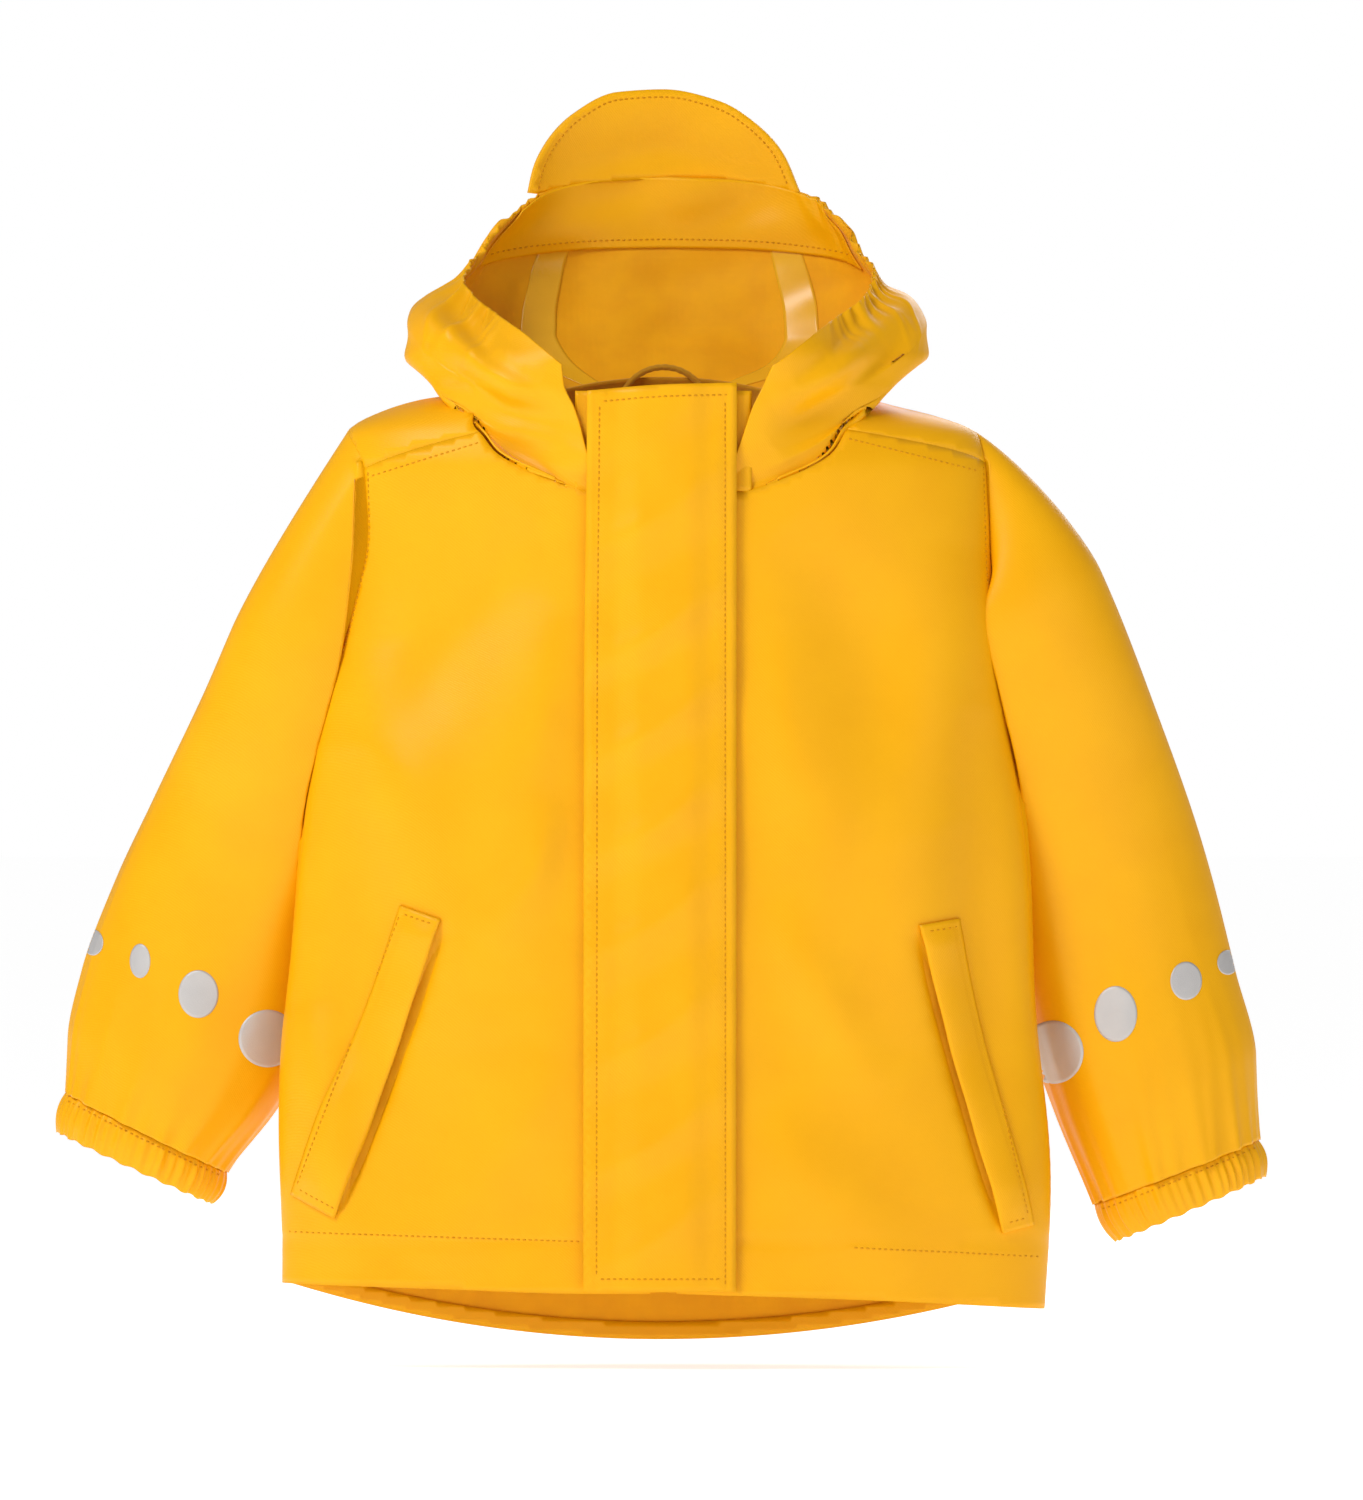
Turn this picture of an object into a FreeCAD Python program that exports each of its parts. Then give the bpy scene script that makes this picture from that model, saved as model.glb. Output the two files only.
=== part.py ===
import FreeCAD, Part
import math
import os
import re
import Sketcher

# A child's hooded rain jacket, hanging from the loop at its back neck.
# Millimetres. The origin is where the hang loop meets the neckline, +Z is up,
# -Y is the front, and +X is the wearer's left.

SIZES = {
    # fabric and clearances
    "wall": 2.0,
    "lining": 0.8,
    "seam_gap": 0.5,
    "overrun": 5.0,
    "far": 800.0,
    # torso: depth, and the width and height of each level
    "torso_depth": 110.0,
    "back_face": 10.0,
    "hem_width": 386.0,
    "hip_width": 384.0,
    "waist_width": 376.0,
    "chest_width": 359.0,
    "underarm_width": 342.0,
    "armhole_width": 328.0,
    "shoulder_width": 326.0,
    "tip_width": 316.0,
    "slope_width": 276.0,
    "yoke_width": 222.0,
    "neck_width": 176.0,
    "hem_height": -472.5,
    "hip_height": -375.0,
    "waist_height": -292.0,
    "chest_height": -212.0,
    "underarm_height": -145.0,
    "armhole_height": -80.0,
    "shoulder_height": -32.0,
    "tip_height": -17.0,
    "slope_height": -7.0,
    "yoke_height": 0.0,
    "neck_height": 5.0,
    "tip_fall": 8.0,
    "slope_fall": 14.0,
    "yoke_fall": 21.0,
    "neck_fall": 28.0,
    "tip_setback": 1.0,
    "slope_setback": 2.0,
    "yoke_setback": 3.0,
    "neck_setback": 4.0,
    "front_hem_height": -449.0,
    "drop_hem_radius": 609.0,
    "hem_turn_up": 26.0,
    "back_hem_turn_up": 8.0,
    "side_seam_setback": 6.0,
    "shoulder_seam_forward": 75.0,
    "shoulder_seam_height": -30.0,
    # neckline
    "neck_hole_width": 156.0,
    "neck_hole_overlap": 10.0,
    "neck_hole_tilt": 27.0,
    "neck_hole_setback": 2.5,
    "neck_hole_height": -22.0,
    "neck_tape_height": 9.0,
    # zip
    "zip_opening": 13.0,
    "zip_tape_edge": 16.0,
    "zip_tape_thickness": 0.6,
    "zip_depth": 2.6,
    "zip_bottom": -440.0,
    "zip_top": 2.0,
    "teeth_half_gap": 0.4,
    "teeth_width": 2.6,
    "teeth_thickness": 2.0,
    "teeth_pitch": 5.0,
    "tooth_height": 3.0,
    "zip_end_height": 8.0,
    "slider_width": 9.0,
    "slider_height": 12.0,
    "slider_middle": -18.0,
    "slider_plate": 1.2,
    "slider_clearance": 0.3,
    "slider_post": 0.4,
    "lug_width": 2.0,
    "lug_reach": 2.6,
    "pin_radius": 0.65,
    "pin_clearance": 0.05,
    "pull_width": 6.0,
    "pull_length": 22.0,
    "pull_thickness": 1.4,
    "pull_hole_radius": 1.4,
    "guard_half_width": 20.0,
    "guard_thickness": 1.0,
    "guard_depth": 6.2,
    # storm flap over the zip, sewn along its edge on the wearer's left
    "flap_top": 4.0,
    "flap_bottom": -445.0,
    "flap_free_edge": 40.0,
    "flap_sewn_edge": 36.2,
    "flap_bridge": 13.0,
    "flap_slope": 11.0,
    "flap_bridge_rise": 5.6,
    "flap_edge_rise": 2.2,
    "flap_foot_rise": 0.6,
    "flap_layer": 1.2,
    "facing_layer": 1.0,
    # press studs under the flap
    "stud_middle": 31.5,
    "stud_radius": 5.0,
    "stud_base": 0.8,
    "stud_knob_radius": 1.9,
    "stud_knob_rise": 1.7,
    "socket_clearance": 0.08,
    "socket_rise": 1.1,
    "stud_top": -14.0,
    "stud_pitch": 100.0,
    "stud_count": 5,
    # hood: width, depth, middle and height of each level
    "hood_base_width": 168.0,
    "hood_foot_width": 186.0,
    "hood_low_width": 240.0,
    "hood_full_width": 262.0,
    "hood_side_width": 262.0,
    "hood_high_width": 228.0,
    "hood_top_width": 190.0,
    "hood_peak_width": 160.0,
    "hood_base_depth": 108.0,
    "hood_foot_depth": 118.0,
    "hood_low_depth": 130.0,
    "hood_full_depth": 142.0,
    "hood_side_depth": 144.0,
    "hood_high_depth": 118.0,
    "hood_top_depth": 80.0,
    "hood_peak_depth": 60.0,
    "hood_base_middle": -47.0,
    "hood_foot_middle": -47.0,
    "hood_low_middle": -41.0,
    "hood_full_middle": -36.0,
    "hood_side_middle": -23.0,
    "hood_high_middle": -6.0,
    "hood_top_middle": 9.0,
    "hood_peak_middle": 13.0,
    "hood_base_height": -32.0,
    "hood_foot_height": -5.0,
    "hood_low_height": 10.0,
    "hood_full_height": 25.0,
    "hood_side_height": 55.0,
    "hood_high_height": 90.0,
    "hood_top_height": 125.0,
    "hood_peak_height": 168.0,
    "hood_edge": 44.4,
    "rim_front": -101.0,
    "rim_front_height": 8.0,
    "rim_tilt": 36.1,
    "base_back": 13.0,
    "base_back_height": 2.0,
    "base_tilt": 16.6,
    "panel_seam": 40.0,
    "seam_tape_width": 20.0,
    "facing_height": 38.0,
    "facing_half_width": 84.0,
    "rim_elastic_width": 14.0,
    "visor_radius": 70.0,
    "visor_middle_height": 90.0,
    "visor_gap": 0.6,
    "collar_top": 4.0,
    "collar_bottom": -46.0,
    "collar_edge": 44.0,
    # sleeves: distances along the arm, widths, depths and middles
    "sleeve_root": 108.0,
    "sleeve_root_height": -44.0,
    "cap_reach": 22.0,
    "biceps_reach": 86.0,
    "elbow_reach": 200.0,
    "forearm_reach": 291.0,
    "wrist_reach": 360.0,
    "cuff_reach": 382.0,
    "root_width": 84.0,
    "cap_width": 102.0,
    "biceps_width": 104.0,
    "elbow_width": 100.0,
    "forearm_width": 108.0,
    "wrist_width": 90.0,
    "cuff_width": 87.0,
    "root_depth": 44.0,
    "cap_depth": 54.0,
    "biceps_depth": 64.0,
    "elbow_depth": 72.0,
    "forearm_depth": 74.0,
    "wrist_depth": 60.0,
    "cuff_depth": 57.0,
    "root_middle": -45.0,
    "cap_middle": -44.0,
    "biceps_middle": -35.0,
    "elbow_middle": -1.0,
    "forearm_middle": 3.0,
    "wrist_middle": 1.0,
    "cuff_middle": 0.0,
    "right_upper_lean": 27.5,
    "right_lower_lean": 19.5,
    "left_upper_lean": 27.0,
    "left_lower_lean": 15.5,
    "right_root_shift": 0.0,
    "left_root_shift": 8.0,
    "right_cuff_tilt": 25.5,
    "left_cuff_tilt": 22.5,
    "elastic_thickness": 1.0,
    "elastic_margin": 3.0,
    # reflective dots, from the outer edge of the sleeve inwards
    "dot_rise": 0.4,
    "dot_reach": 286.0,
    "outer_dot": 12.5,
    "small_dot": 18.0,
    "large_dot": 26.0,
    "inner_dot": 30.0,
    "outer_dot_offset": 47.0,
    "small_dot_offset": 26.0,
    "large_dot_offset": -9.0,
    "inner_dot_offset": -44.0,
    # pockets
    "welt_width": 21.0,
    "welt_length": 157.0,
    "welt_lean": 19.0,
    "welt_middle": 149.0,
    "welt_middle_height": -331.0,
    "welt_rise": 3.0,
    "slit_width": 13.0,
    "slit_margin": 12.0,
    "slit_overhang": 8.0,
    "bag_depth": 12.0,
    "bag_wall": 1.2,
    "bag_width": 92.0,
    "bag_length": 160.0,
    "bag_shift": -26.0,
    # hang loop
    "loop_half_width": 24.0,
    "loop_rise": 18.0,
    "loop_cord_radius": 1.8,
}

doc = FreeCAD.newDocument("rain_jacket")
sheet = doc.addObject("Spreadsheet::Sheet", "Sizes")
for row, (alias, number) in enumerate(SIZES.items(), start=1):
    sheet.set(f"A{row}", alias)
    sheet.set(f"B{row}", str(number))
    sheet.setAlias(f"B{row}", alias)
doc.recompute()

nodes = []


def formula(text):
    """An expression in which each size's name is read from the sheet."""
    return re.sub(r"[a-z]+(?:_[a-z]+)*", lambda m: f"Sizes.{m[0]}" if m[0] in SIZES else m[0], text)


def bind(item, **fields):
    """Bind an object's properties to formulas; a double underscore stands for a dot."""
    for field, text in fields.items():
        item.setExpression(field.replace("__", "."), formula(text))


def keep(item):
    """Mark an object as a sub-part that gets a file of its own."""
    item.Label = item.Name
    nodes.append(item)
    return item


# ---------------------------------------------------------------- solids


def place(item, x="0", y="0", z="0", axis=None, angle="0"):
    if axis is not None:
        item.Placement = FreeCAD.Placement(FreeCAD.Vector(), FreeCAD.Rotation(axis, 1))
        bind(item, Placement__Rotation__Angle=angle)
    bind(item, Placement__Base__x=x, Placement__Base__y=y, Placement__Base__z=z)


X_AXIS = FreeCAD.Vector(1, 0, 0)
Y_AXIS = FreeCAD.Vector(0, 1, 0)


def ellipse(name, width, depth, x, y, z, axis=None, angle="0"):
    item = doc.addObject("Part::Ellipse", name)
    bind(item, MajorRadius=f"({width}) / 2", MinorRadius=f"({depth}) / 2")
    place(item, x, y, z, axis, angle)
    return item


def loft(name, sections):
    item = doc.addObject("Part::Loft", name)
    item.Sections = sections
    item.Solid = True
    item.Ruled = True
    return item


def box(name, low, high):
    """A box between two corners, each given as three formulas."""
    item = doc.addObject("Part::Box", name)
    length, width, height = (f"({b}) - ({a})" for a, b in zip(low, high))
    bind(item, Length=length, Width=width, Height=height)
    place(item, *low)
    return item


def slab(name, middle, size, lean):
    """A box centred on a point and leaning about Y, for what lies slanted on the front."""
    length, width, height = size
    item = doc.addObject("Part::Box", name)
    bind(item, Length=length, Width=width, Height=height)
    x, y, z = middle
    place(
        item,
        f"({x}) - ({length}) / 2 * cos({lean}) - ({height}) / 2 * sin({lean})",
        f"({y}) - ({width}) / 2",
        f"({z}) + ({length}) / 2 * sin({lean}) - ({height}) / 2 * cos({lean})",
        Y_AXIS,
        lean,
    )
    return item


def cylinder_along_y(name, radius, x, z, near, far):
    item = doc.addObject("Part::Cylinder", name)
    bind(item, Radius=radius, Height=f"({far}) - ({near})")
    item.Placement = FreeCAD.Placement(FreeCAD.Vector(), FreeCAD.Rotation(X_AXIS, -90))
    bind(item, Placement__Base__x=x, Placement__Base__y=near, Placement__Base__z=z)
    return item


# A document boolean widens its tolerance with the size of its operands, past this
# jacket's half-millimetre gaps, so the thin layers are cut with Part's own functions.


def shape_of(item):
    if "Touched" in item.State:
        doc.recompute()
    return item.Shape


def result(name, shape):
    item = doc.addObject("Part::Feature", name)
    item.Shape = shape.Solids[0] if len(shape.Solids) == 1 else shape
    return item


def cut(name, base, tool):
    return result(name, shape_of(base).cut(shape_of(tool)))


def common(name, first, *others):
    shape = shape_of(first)
    for other in others:
        shape = shape.common(shape_of(other))
    return result(name, shape)


def fuse(name, first, *others):
    return result(name, shape_of(first).multiFuse([shape_of(other) for other in others]))


# ------------------------------------------------------- sketched bodies


def new_body(name, x="0", y="0", z="0"):
    body = doc.addObject("PartDesign::Body", name)
    place(body, x, y, z)
    return body


def sketch_on(body, name, role):
    sketch = body.newObject("Sketcher::SketchObject", name)
    support = next(item for item in body.Origin.OriginFeatures if item.Role == role)
    sketch.AttachmentSupport = [(support, "")]
    sketch.MapMode = "FlatFace"
    return sketch


def outline(body, name, role, corners):
    """A closed polygon whose corners are pairs of formulas."""
    sketch = sketch_on(body, name, role)
    count = len(corners)
    start = [
        FreeCAD.Vector(math.cos(math.tau * i / count), math.sin(math.tau * i / count), 0)
        for i in range(count)
    ]
    for i in range(count):
        sketch.addGeometry(Part.LineSegment(start[i], start[(i + 1) % count]))
    for i in range(count):
        sketch.addConstraint(Sketcher.Constraint("Coincident", i, 2, (i + 1) % count, 1))
    for i, corner in enumerate(corners):
        for kind, text in zip(("DistanceX", "DistanceY"), corner):
            index = sketch.addConstraint(Sketcher.Constraint(kind, -1, 1, i, 1, 1.0 + i))
            sketch.setExpression(f"Constraints[{index}]", formula(text))
    return sketch


def circle(body, name, role, radius, x="0", y="0"):
    sketch = sketch_on(body, name, role)
    sketch.addGeometry(Part.Circle(FreeCAD.Vector(1, 1, 0), FreeCAD.Vector(0, 0, 1), 1))
    index = sketch.addConstraint(Sketcher.Constraint("Radius", 0, 1.0))
    sketch.setExpression(f"Constraints[{index}]", formula(radius))
    for kind, text in zip(("DistanceX", "DistanceY"), (x, y)):
        index = sketch.addConstraint(Sketcher.Constraint(kind, -1, 1, 0, 3, 1.0))
        sketch.setExpression(f"Constraints[{index}]", formula(text))
    return sketch


def extrude(body, name, sketch, length, kind="Pad", reverse=False, middle=False):
    item = body.newObject(f"PartDesign::{kind}", name)
    item.Profile = sketch
    item.Reversed = reverse
    item.Midplane = middle
    bind(item, Length=length)
    return item


def annulus(body, name, role, outer, inner, x="0", y="0"):
    sketch = circle(body, name, role, outer, x, y)
    sketch.addGeometry(Part.Circle(FreeCAD.Vector(1, 1, 0), FreeCAD.Vector(0, 0, 1), 0.5))
    sketch.addConstraint(Sketcher.Constraint("Coincident", 0, 3, 1, 3))
    index = sketch.addConstraint(Sketcher.Constraint("Radius", 1, 0.5))
    sketch.setExpression(f"Constraints[{index}]", formula(inner))
    return sketch


def repeat_down(body, name, features, count, pitch):
    """Repeat features downwards, along -Z."""
    item = body.newObject("PartDesign::LinearPattern", name)
    item.Originals = features
    axis = next(part for part in body.Origin.OriginFeatures if part.Role == "Z_Axis")
    item.Direction = (axis, [""])
    item.Reversed = True
    item.Mode = "Spacing"
    bind(item, Offset=pitch, Occurrences=count)
    body.Tip = item
    return item


# ------------------------------------------------------------------ torso

FRONT = "(back_face - torso_depth)"
MIDDLE = "(back_face - torso_depth / 2)"
SIDE_SEAM = "(back_face - torso_depth / 2 + side_seam_setback)"

# each level, its depth, how far its back stands in, and how much of an inset also lowers it
TORSO_LEVELS = [
    ("hem", "torso_depth", "0", "0"),
    ("hip", "torso_depth", "0", "0"),
    ("waist", "torso_depth", "0", "0"),
    ("chest", "torso_depth", "0", "0"),
    ("underarm", "torso_depth", "0", "0"),
    ("armhole", "torso_depth", "0", "0"),
    ("shoulder", "torso_depth", "0", "0"),
    ("tip", "(torso_depth - tip_fall)", "tip_setback", "0.5"),
    ("slope", "(torso_depth - slope_fall)", "slope_setback", "1"),
    ("yoke", "(torso_depth - yoke_fall)", "yoke_setback", "1"),
    ("neck", "(torso_depth - neck_fall)", "neck_setback", "1"),
]


def torso_loft(name, inset="0", overrun="overrun"):
    """The torso's form, moved inwards by an inset and past the hem by an overrun."""
    sections = []
    for level, depth, setback, share in TORSO_LEVELS:
        drop = overrun if level == "hem" else "0"
        sections.append(
            ellipse(
                f"{name}_{level}",
                f"{level}_width - 2 * ({inset})",
                f"{depth} - 2 * ({inset})",
                "0",
                f"back_face - {setback} - {depth} / 2",
                f"{level}_height - {share} * ({inset}) - {drop}",
            )
        )
    return loft(name, sections)


torso_outer = torso_loft("torso_outer", overrun="0")
torso_inner = torso_loft("torso_inner", "wall")
torso_lining = torso_loft("torso_lining", "wall + lining")
torso_clear = torso_loft("torso_clear", "-seam_gap")

neck_axis = (X_AXIS, "neck_hole_tilt")
NECK_MIDDLE = "(back_face - torso_depth / 2 - neck_hole_setback)"


def neck_ring(name, inset, low, high):
    """A column on the slanted neckline, between two distances along its axis."""
    ends = [
        ellipse(
            f"{name}_{end}",
            f"neck_hole_width - 2 * ({inset})",
            f"torso_depth + neck_hole_overlap - 2 * ({inset})",
            "0",
            f"{NECK_MIDDLE} - ({reach}) * sin(neck_hole_tilt)",
            f"neck_hole_height + ({reach}) * cos(neck_hole_tilt)",
            *neck_axis,
        )
        for end, reach in (("low", low), ("high", high))
    ]
    return loft(name, ends)


# ---------------------------------------------------------------- sleeves

SLEEVE_LEVELS = ["root", "cap", "biceps", "elbow", "forearm", "wrist", "cuff"]
SIGNS = {"left": "1", "right": "-1"}


def arm_point(side, reach, beyond_elbow):
    """The x and z of a point at a distance along the arm."""
    upper = "elbow_reach" if beyond_elbow else f"({reach})"
    lower = f"(({reach}) - elbow_reach)" if beyond_elbow else "0"
    sideways = f"{upper} * sin({side}_upper_lean) + {lower} * sin({side}_lower_lean)"
    downwards = f"{upper} * cos({side}_upper_lean) + {lower} * cos({side}_lower_lean)"
    x = f"{SIGNS[side]} * (sleeve_root + {side}_root_shift + {sideways})"
    return x, f"sleeve_root_height - ({downwards})"


def sleeve_loft(name, side, inset="0", overrun="overrun"):
    leans = {
        "elbow": f"({side}_upper_lean + {side}_lower_lean) / 2",
        "forearm": f"{side}_lower_lean",
        "wrist": f"{side}_cuff_tilt",
        "cuff": f"{side}_cuff_tilt",
    }
    sections = []
    for level in SLEEVE_LEVELS:
        reach = {"root": f"0 - {overrun}", "cuff": f"cuff_reach + {overrun}"}.get(level, f"{level}_reach")
        x, z = arm_point(side, reach, level in ("forearm", "wrist", "cuff"))
        lean = leans.get(level, f"{side}_upper_lean")
        sections.append(
            ellipse(
                f"{name}_{level}",
                f"{level}_width - 2 * ({inset})",
                f"{level}_depth - 2 * ({inset})",
                x,
                f"{level}_middle",
                z,
                Y_AXIS,
                f"-1 * {SIGNS[side]} * ({lean})",
            )
        )
    return loft(name, sections)


def cuff_slab(name, side, start, length):
    """A slab square to the forearm's end, from a distance along the arm."""
    x, z = arm_point(side, start, True)
    sign = SIGNS[side]
    tilt = f"{side}_cuff_tilt"
    middle = (
        f"{x} + {sign} * ({length}) / 2 * sin({tilt})",
        "cuff_middle",
        f"{z} - ({length}) / 2 * cos({tilt})",
    )
    return slab(name, middle, ("2 * forearm_width", "2 * forearm_width", length), f"-1 * {sign} * {tilt}")


DOTS = ["outer_dot", "small_dot", "large_dot", "inner_dot"]


def make_sleeve(side):
    outer = sleeve_loft(f"{side}_sleeve_outer", side, overrun="0")
    inner = sleeve_loft(f"{side}_sleeve_inner", side, "wall")
    tube = cut(f"{side}_sleeve_tube", outer, inner)
    free = cut(f"{side}_sleeve_free", tube, torso_clear)
    end = cuff_slab(f"{side}_cuff_slab", side, "wrist_reach", "cuff_reach - wrist_reach + 2 * overrun")
    keep(cut(f"sleeve_{side}", free, end))
    keep(common(f"cuff_{side}", free, end))

    # the elastic lies against the inside of the cuff
    band_inside = sleeve_loft(f"{side}_band_inside", side, "wall + elastic_thickness")
    band = cut(f"{side}_band", inner, band_inside)
    band_slab = cuff_slab(
        f"{side}_band_slab",
        side,
        "wrist_reach + elastic_margin",
        "cuff_reach - wrist_reach - 2 * elastic_margin",
    )
    keep(common(f"cuff_elastic_{side}", band, band_slab))

    # reflective dots printed in a row across the front of the forearm
    film = cut(f"{side}_film", sleeve_loft(f"{side}_film_outer", side, "-dot_rise"), outer)
    x, z = arm_point(side, "dot_reach", True)
    pins = [
        cylinder_along_y(
            f"{side}_{dot}",
            f"{dot} / 2",
            f"{x} + {SIGNS[side]} * {dot}_offset * cos({side}_cuff_tilt)",
            f"{z} + {dot}_offset * sin({side}_cuff_tilt)",
            "forearm_middle - forearm_depth",
            "forearm_middle",
        )
        for dot in DOTS
    ]
    keep(common(f"reflective_dots_{side}", film, fuse(f"{side}_dot_pins", *pins)))
    return sleeve_loft(f"{side}_sleeve_clear", side, "-seam_gap")


sleeve_room = {side: make_sleeve(side) for side in SIGNS}

# ------------------------------------------------------- front and back panels

torso_shell = cut("torso_shell", torso_outer, torso_inner)
neck_hole = neck_ring("neck_hole", "0", "0", "far / 6")
torso_open = cut("torso_open", torso_shell, neck_hole)

behind = box("behind_side_seams", ("-far", SIDE_SEAM, "-far"), ("far", "far", "far"))
yoke = box(
    "forward_of_shoulders",
    ("-far", "-shoulder_seam_forward", "shoulder_seam_height"),
    ("far", "far", "far"),
)
drop_hem = cylinder_along_y(
    "drop_hem", "drop_hem_radius", "0", "hem_height + drop_hem_radius", "-far", "far"
)
back_zone = common("back_zone", fuse("back_boxes", behind, yoke), drop_hem)
back_whole = common("back_whole", torso_open, back_zone)
keep(cut("back_panel", cut("back_one_armhole", back_whole, sleeve_room["left"]), sleeve_room["right"]))

lining_ring = cut("lining_ring", torso_inner, torso_lining)
bag_back = torso_loft("bag_back", "wall + bag_depth")
bag_inside = torso_loft("bag_inside", "wall + bag_depth - bag_wall")
bag_ring = cut("bag_ring", torso_inner, bag_back)
hand_ring = cut("hand_ring", torso_inner, bag_inside)
welt_face = torso_loft("welt_face", "-welt_rise")
welt_ring = cut("welt_ring", welt_face, torso_clear)
collar_ends = {
    (face, end): ellipse(
        f"collar_{face}_{end}", f"armhole_width - 2 * {inset}", f"torso_depth - 2 * {inset}", "0", MIDDLE, height
    )
    for face, inset in (("outer", "0"), ("inner", "wall"))
    for end, height in (("low", "collar_bottom"), ("high", "collar_top"))
}
collar_outer = loft("collar_outer", [collar_ends["outer", "low"], collar_ends["outer", "high"]])
collar_inner = loft("collar_inner", [collar_ends["inner", "low"], collar_ends["inner", "high"]])
collar_tube = cut("collar_tube", collar_outer, collar_inner)


def side_box(name, side, inner_x, outer_x, low, high, near="-far", far=SIDE_SEAM):
    """A box on one side of the centre line."""
    if side == "left":
        return box(name, (inner_x, near, low), (outer_x, far, high))
    return box(name, (f"-({outer_x})", near, low), (f"-({inner_x})", far, high))


def make_front(side):
    sign = SIGNS[side]
    lean = f"-1 * {sign} * welt_lean"
    middle_x = f"{sign} * welt_middle"

    # the pocket's slit lies under the welt's edge nearest the zip
    slit_x = f"{middle_x} - {sign} * (welt_width / 2 + slit_overhang - slit_width / 2) * cos(welt_lean)"
    slit_z = "welt_middle_height - (welt_width / 2 + slit_overhang - slit_width / 2) * sin(welt_lean)"
    slit = slab(
        f"{side}_slit",
        (slit_x, f"{FRONT} + torso_depth / 4", slit_z),
        ("slit_width", "torso_depth / 2", "welt_length - 2 * slit_margin"),
        lean,
    )
    edge = "zip_opening / 2"
    chest = side_box(f"{side}_chest", side, edge, "far", "front_hem_height", "shoulder_seam_height")
    shoulder = side_box(
        f"{side}_shoulder", side, edge, "far", "shoulder_seam_height", "far", far="-shoulder_seam_forward"
    )
    zone = cut(f"{side}_front_zone", fuse(f"{side}_front_boxes", chest, shoulder), slit)
    keep(cut(f"front_panel_{side}", common(f"{side}_front_whole", torso_open, zone), sleeve_room[side]))

    welt_slab = slab(
        f"{side}_welt_slab",
        (middle_x, f"{FRONT} + torso_depth / 4", "welt_middle_height"),
        ("welt_width", "torso_depth / 2 + 2 * welt_rise", "welt_length"),
        lean,
    )
    keep(common(f"pocket_welt_{side}", welt_ring, welt_slab))

    # the pocket bag hangs behind the slit, open towards the panel
    bag_x = f"{middle_x} + {sign} * bag_shift"

    def bag_slab(name, margin):
        size = (f"bag_width - 2 * {margin}", "torso_depth / 2", f"bag_length - 2 * {margin}")
        return slab(name, (bag_x, f"{FRONT} + torso_depth / 4", "welt_middle_height"), size, lean)

    bag = common(f"{side}_bag_outside", bag_ring, bag_slab(f"{side}_bag_slab", "0"))
    hollow = common(f"{side}_bag_hollow", hand_ring, bag_slab(f"{side}_hollow_slab", "bag_wall"))
    keep(cut(f"pocket_bag_{side}", bag, hollow))

    turn_up = side_box(
        f"{side}_turn_up_box", side, "guard_half_width + 1", "far", "front_hem_height", "front_hem_height + hem_turn_up"
    )
    keep(common(f"hem_turn_up_{side}", lining_ring, turn_up))

    collar_box = side_box(f"{side}_collar_box", side, "zip_opening / 2", "collar_edge", "-far", "far")
    keep(common(f"chin_guard_{side}", collar_tube, collar_box, neck_hole))


make_front("right")
make_front("left")

back_band = box("back_band", ("-far", SIDE_SEAM, "-far"), ("far", "far", "hem_height + drop_hem_radius"))
hem_curve = cylinder_along_y(
    "hem_curve", "drop_hem_radius - back_hem_turn_up", "0", "hem_height + drop_hem_radius", "-far", "far"
)
back_strip = common("back_strip", lining_ring, back_band, drop_hem)
keep(cut("hem_turn_up_back", back_strip, hem_curve))

loop_ring = doc.addObject("Part::Torus", "loop_ring")
bind(
    loop_ring,
    Radius1="(loop_half_width ^ 2 + loop_rise ^ 2) / (2 * loop_rise)",
    Radius2="loop_cord_radius",
)
loop_drop = "loop_rise - (loop_half_width ^ 2 + loop_rise ^ 2) / (2 * loop_rise)"
place(loop_ring, "0", "0", loop_drop, X_AXIS, "90")
loop_box = box("loop_box", ("-far", "-far", "0 - loop_cord_radius"), ("far", "far", "far"))
loop_arc = common("loop_arc", loop_ring, loop_box)
keep(cut("hang_loop", loop_arc, torso_outer))

tape_outer = neck_ring("tape_outer", "seam_gap", "-neck_tape_height / 2", "neck_tape_height / 2")
tape_inner = neck_ring("tape_inner", "seam_gap + lining", "-neck_tape_height", "neck_tape_height")
tape_half = box("tape_half", ("-far", NECK_MIDDLE, "-far"), ("far", "far", "far"))
tape_ring = cut("tape_ring", tape_outer, tape_inner)
tape_band = common("tape_band", tape_ring, tape_half)
sewn_band = cut("sewn_band", tape_band, torso_outer)
keep(cut("neck_tape", sewn_band, loop_ring))

# -------------------------------------------------------------------- zip

TEETH_BACK = "zip_depth + teeth_thickness / 2"
PLATE_FRONT = "(zip_depth - teeth_thickness / 2 - slider_clearance - slider_plate)"
PIN_DEPTH = f"({PLATE_FRONT} - lug_reach / 2)"


def corners(x0, y0, x1, y1):
    return [(x0, y0), (x1, y0), (x1, y1), (x0, y1)]


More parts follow.
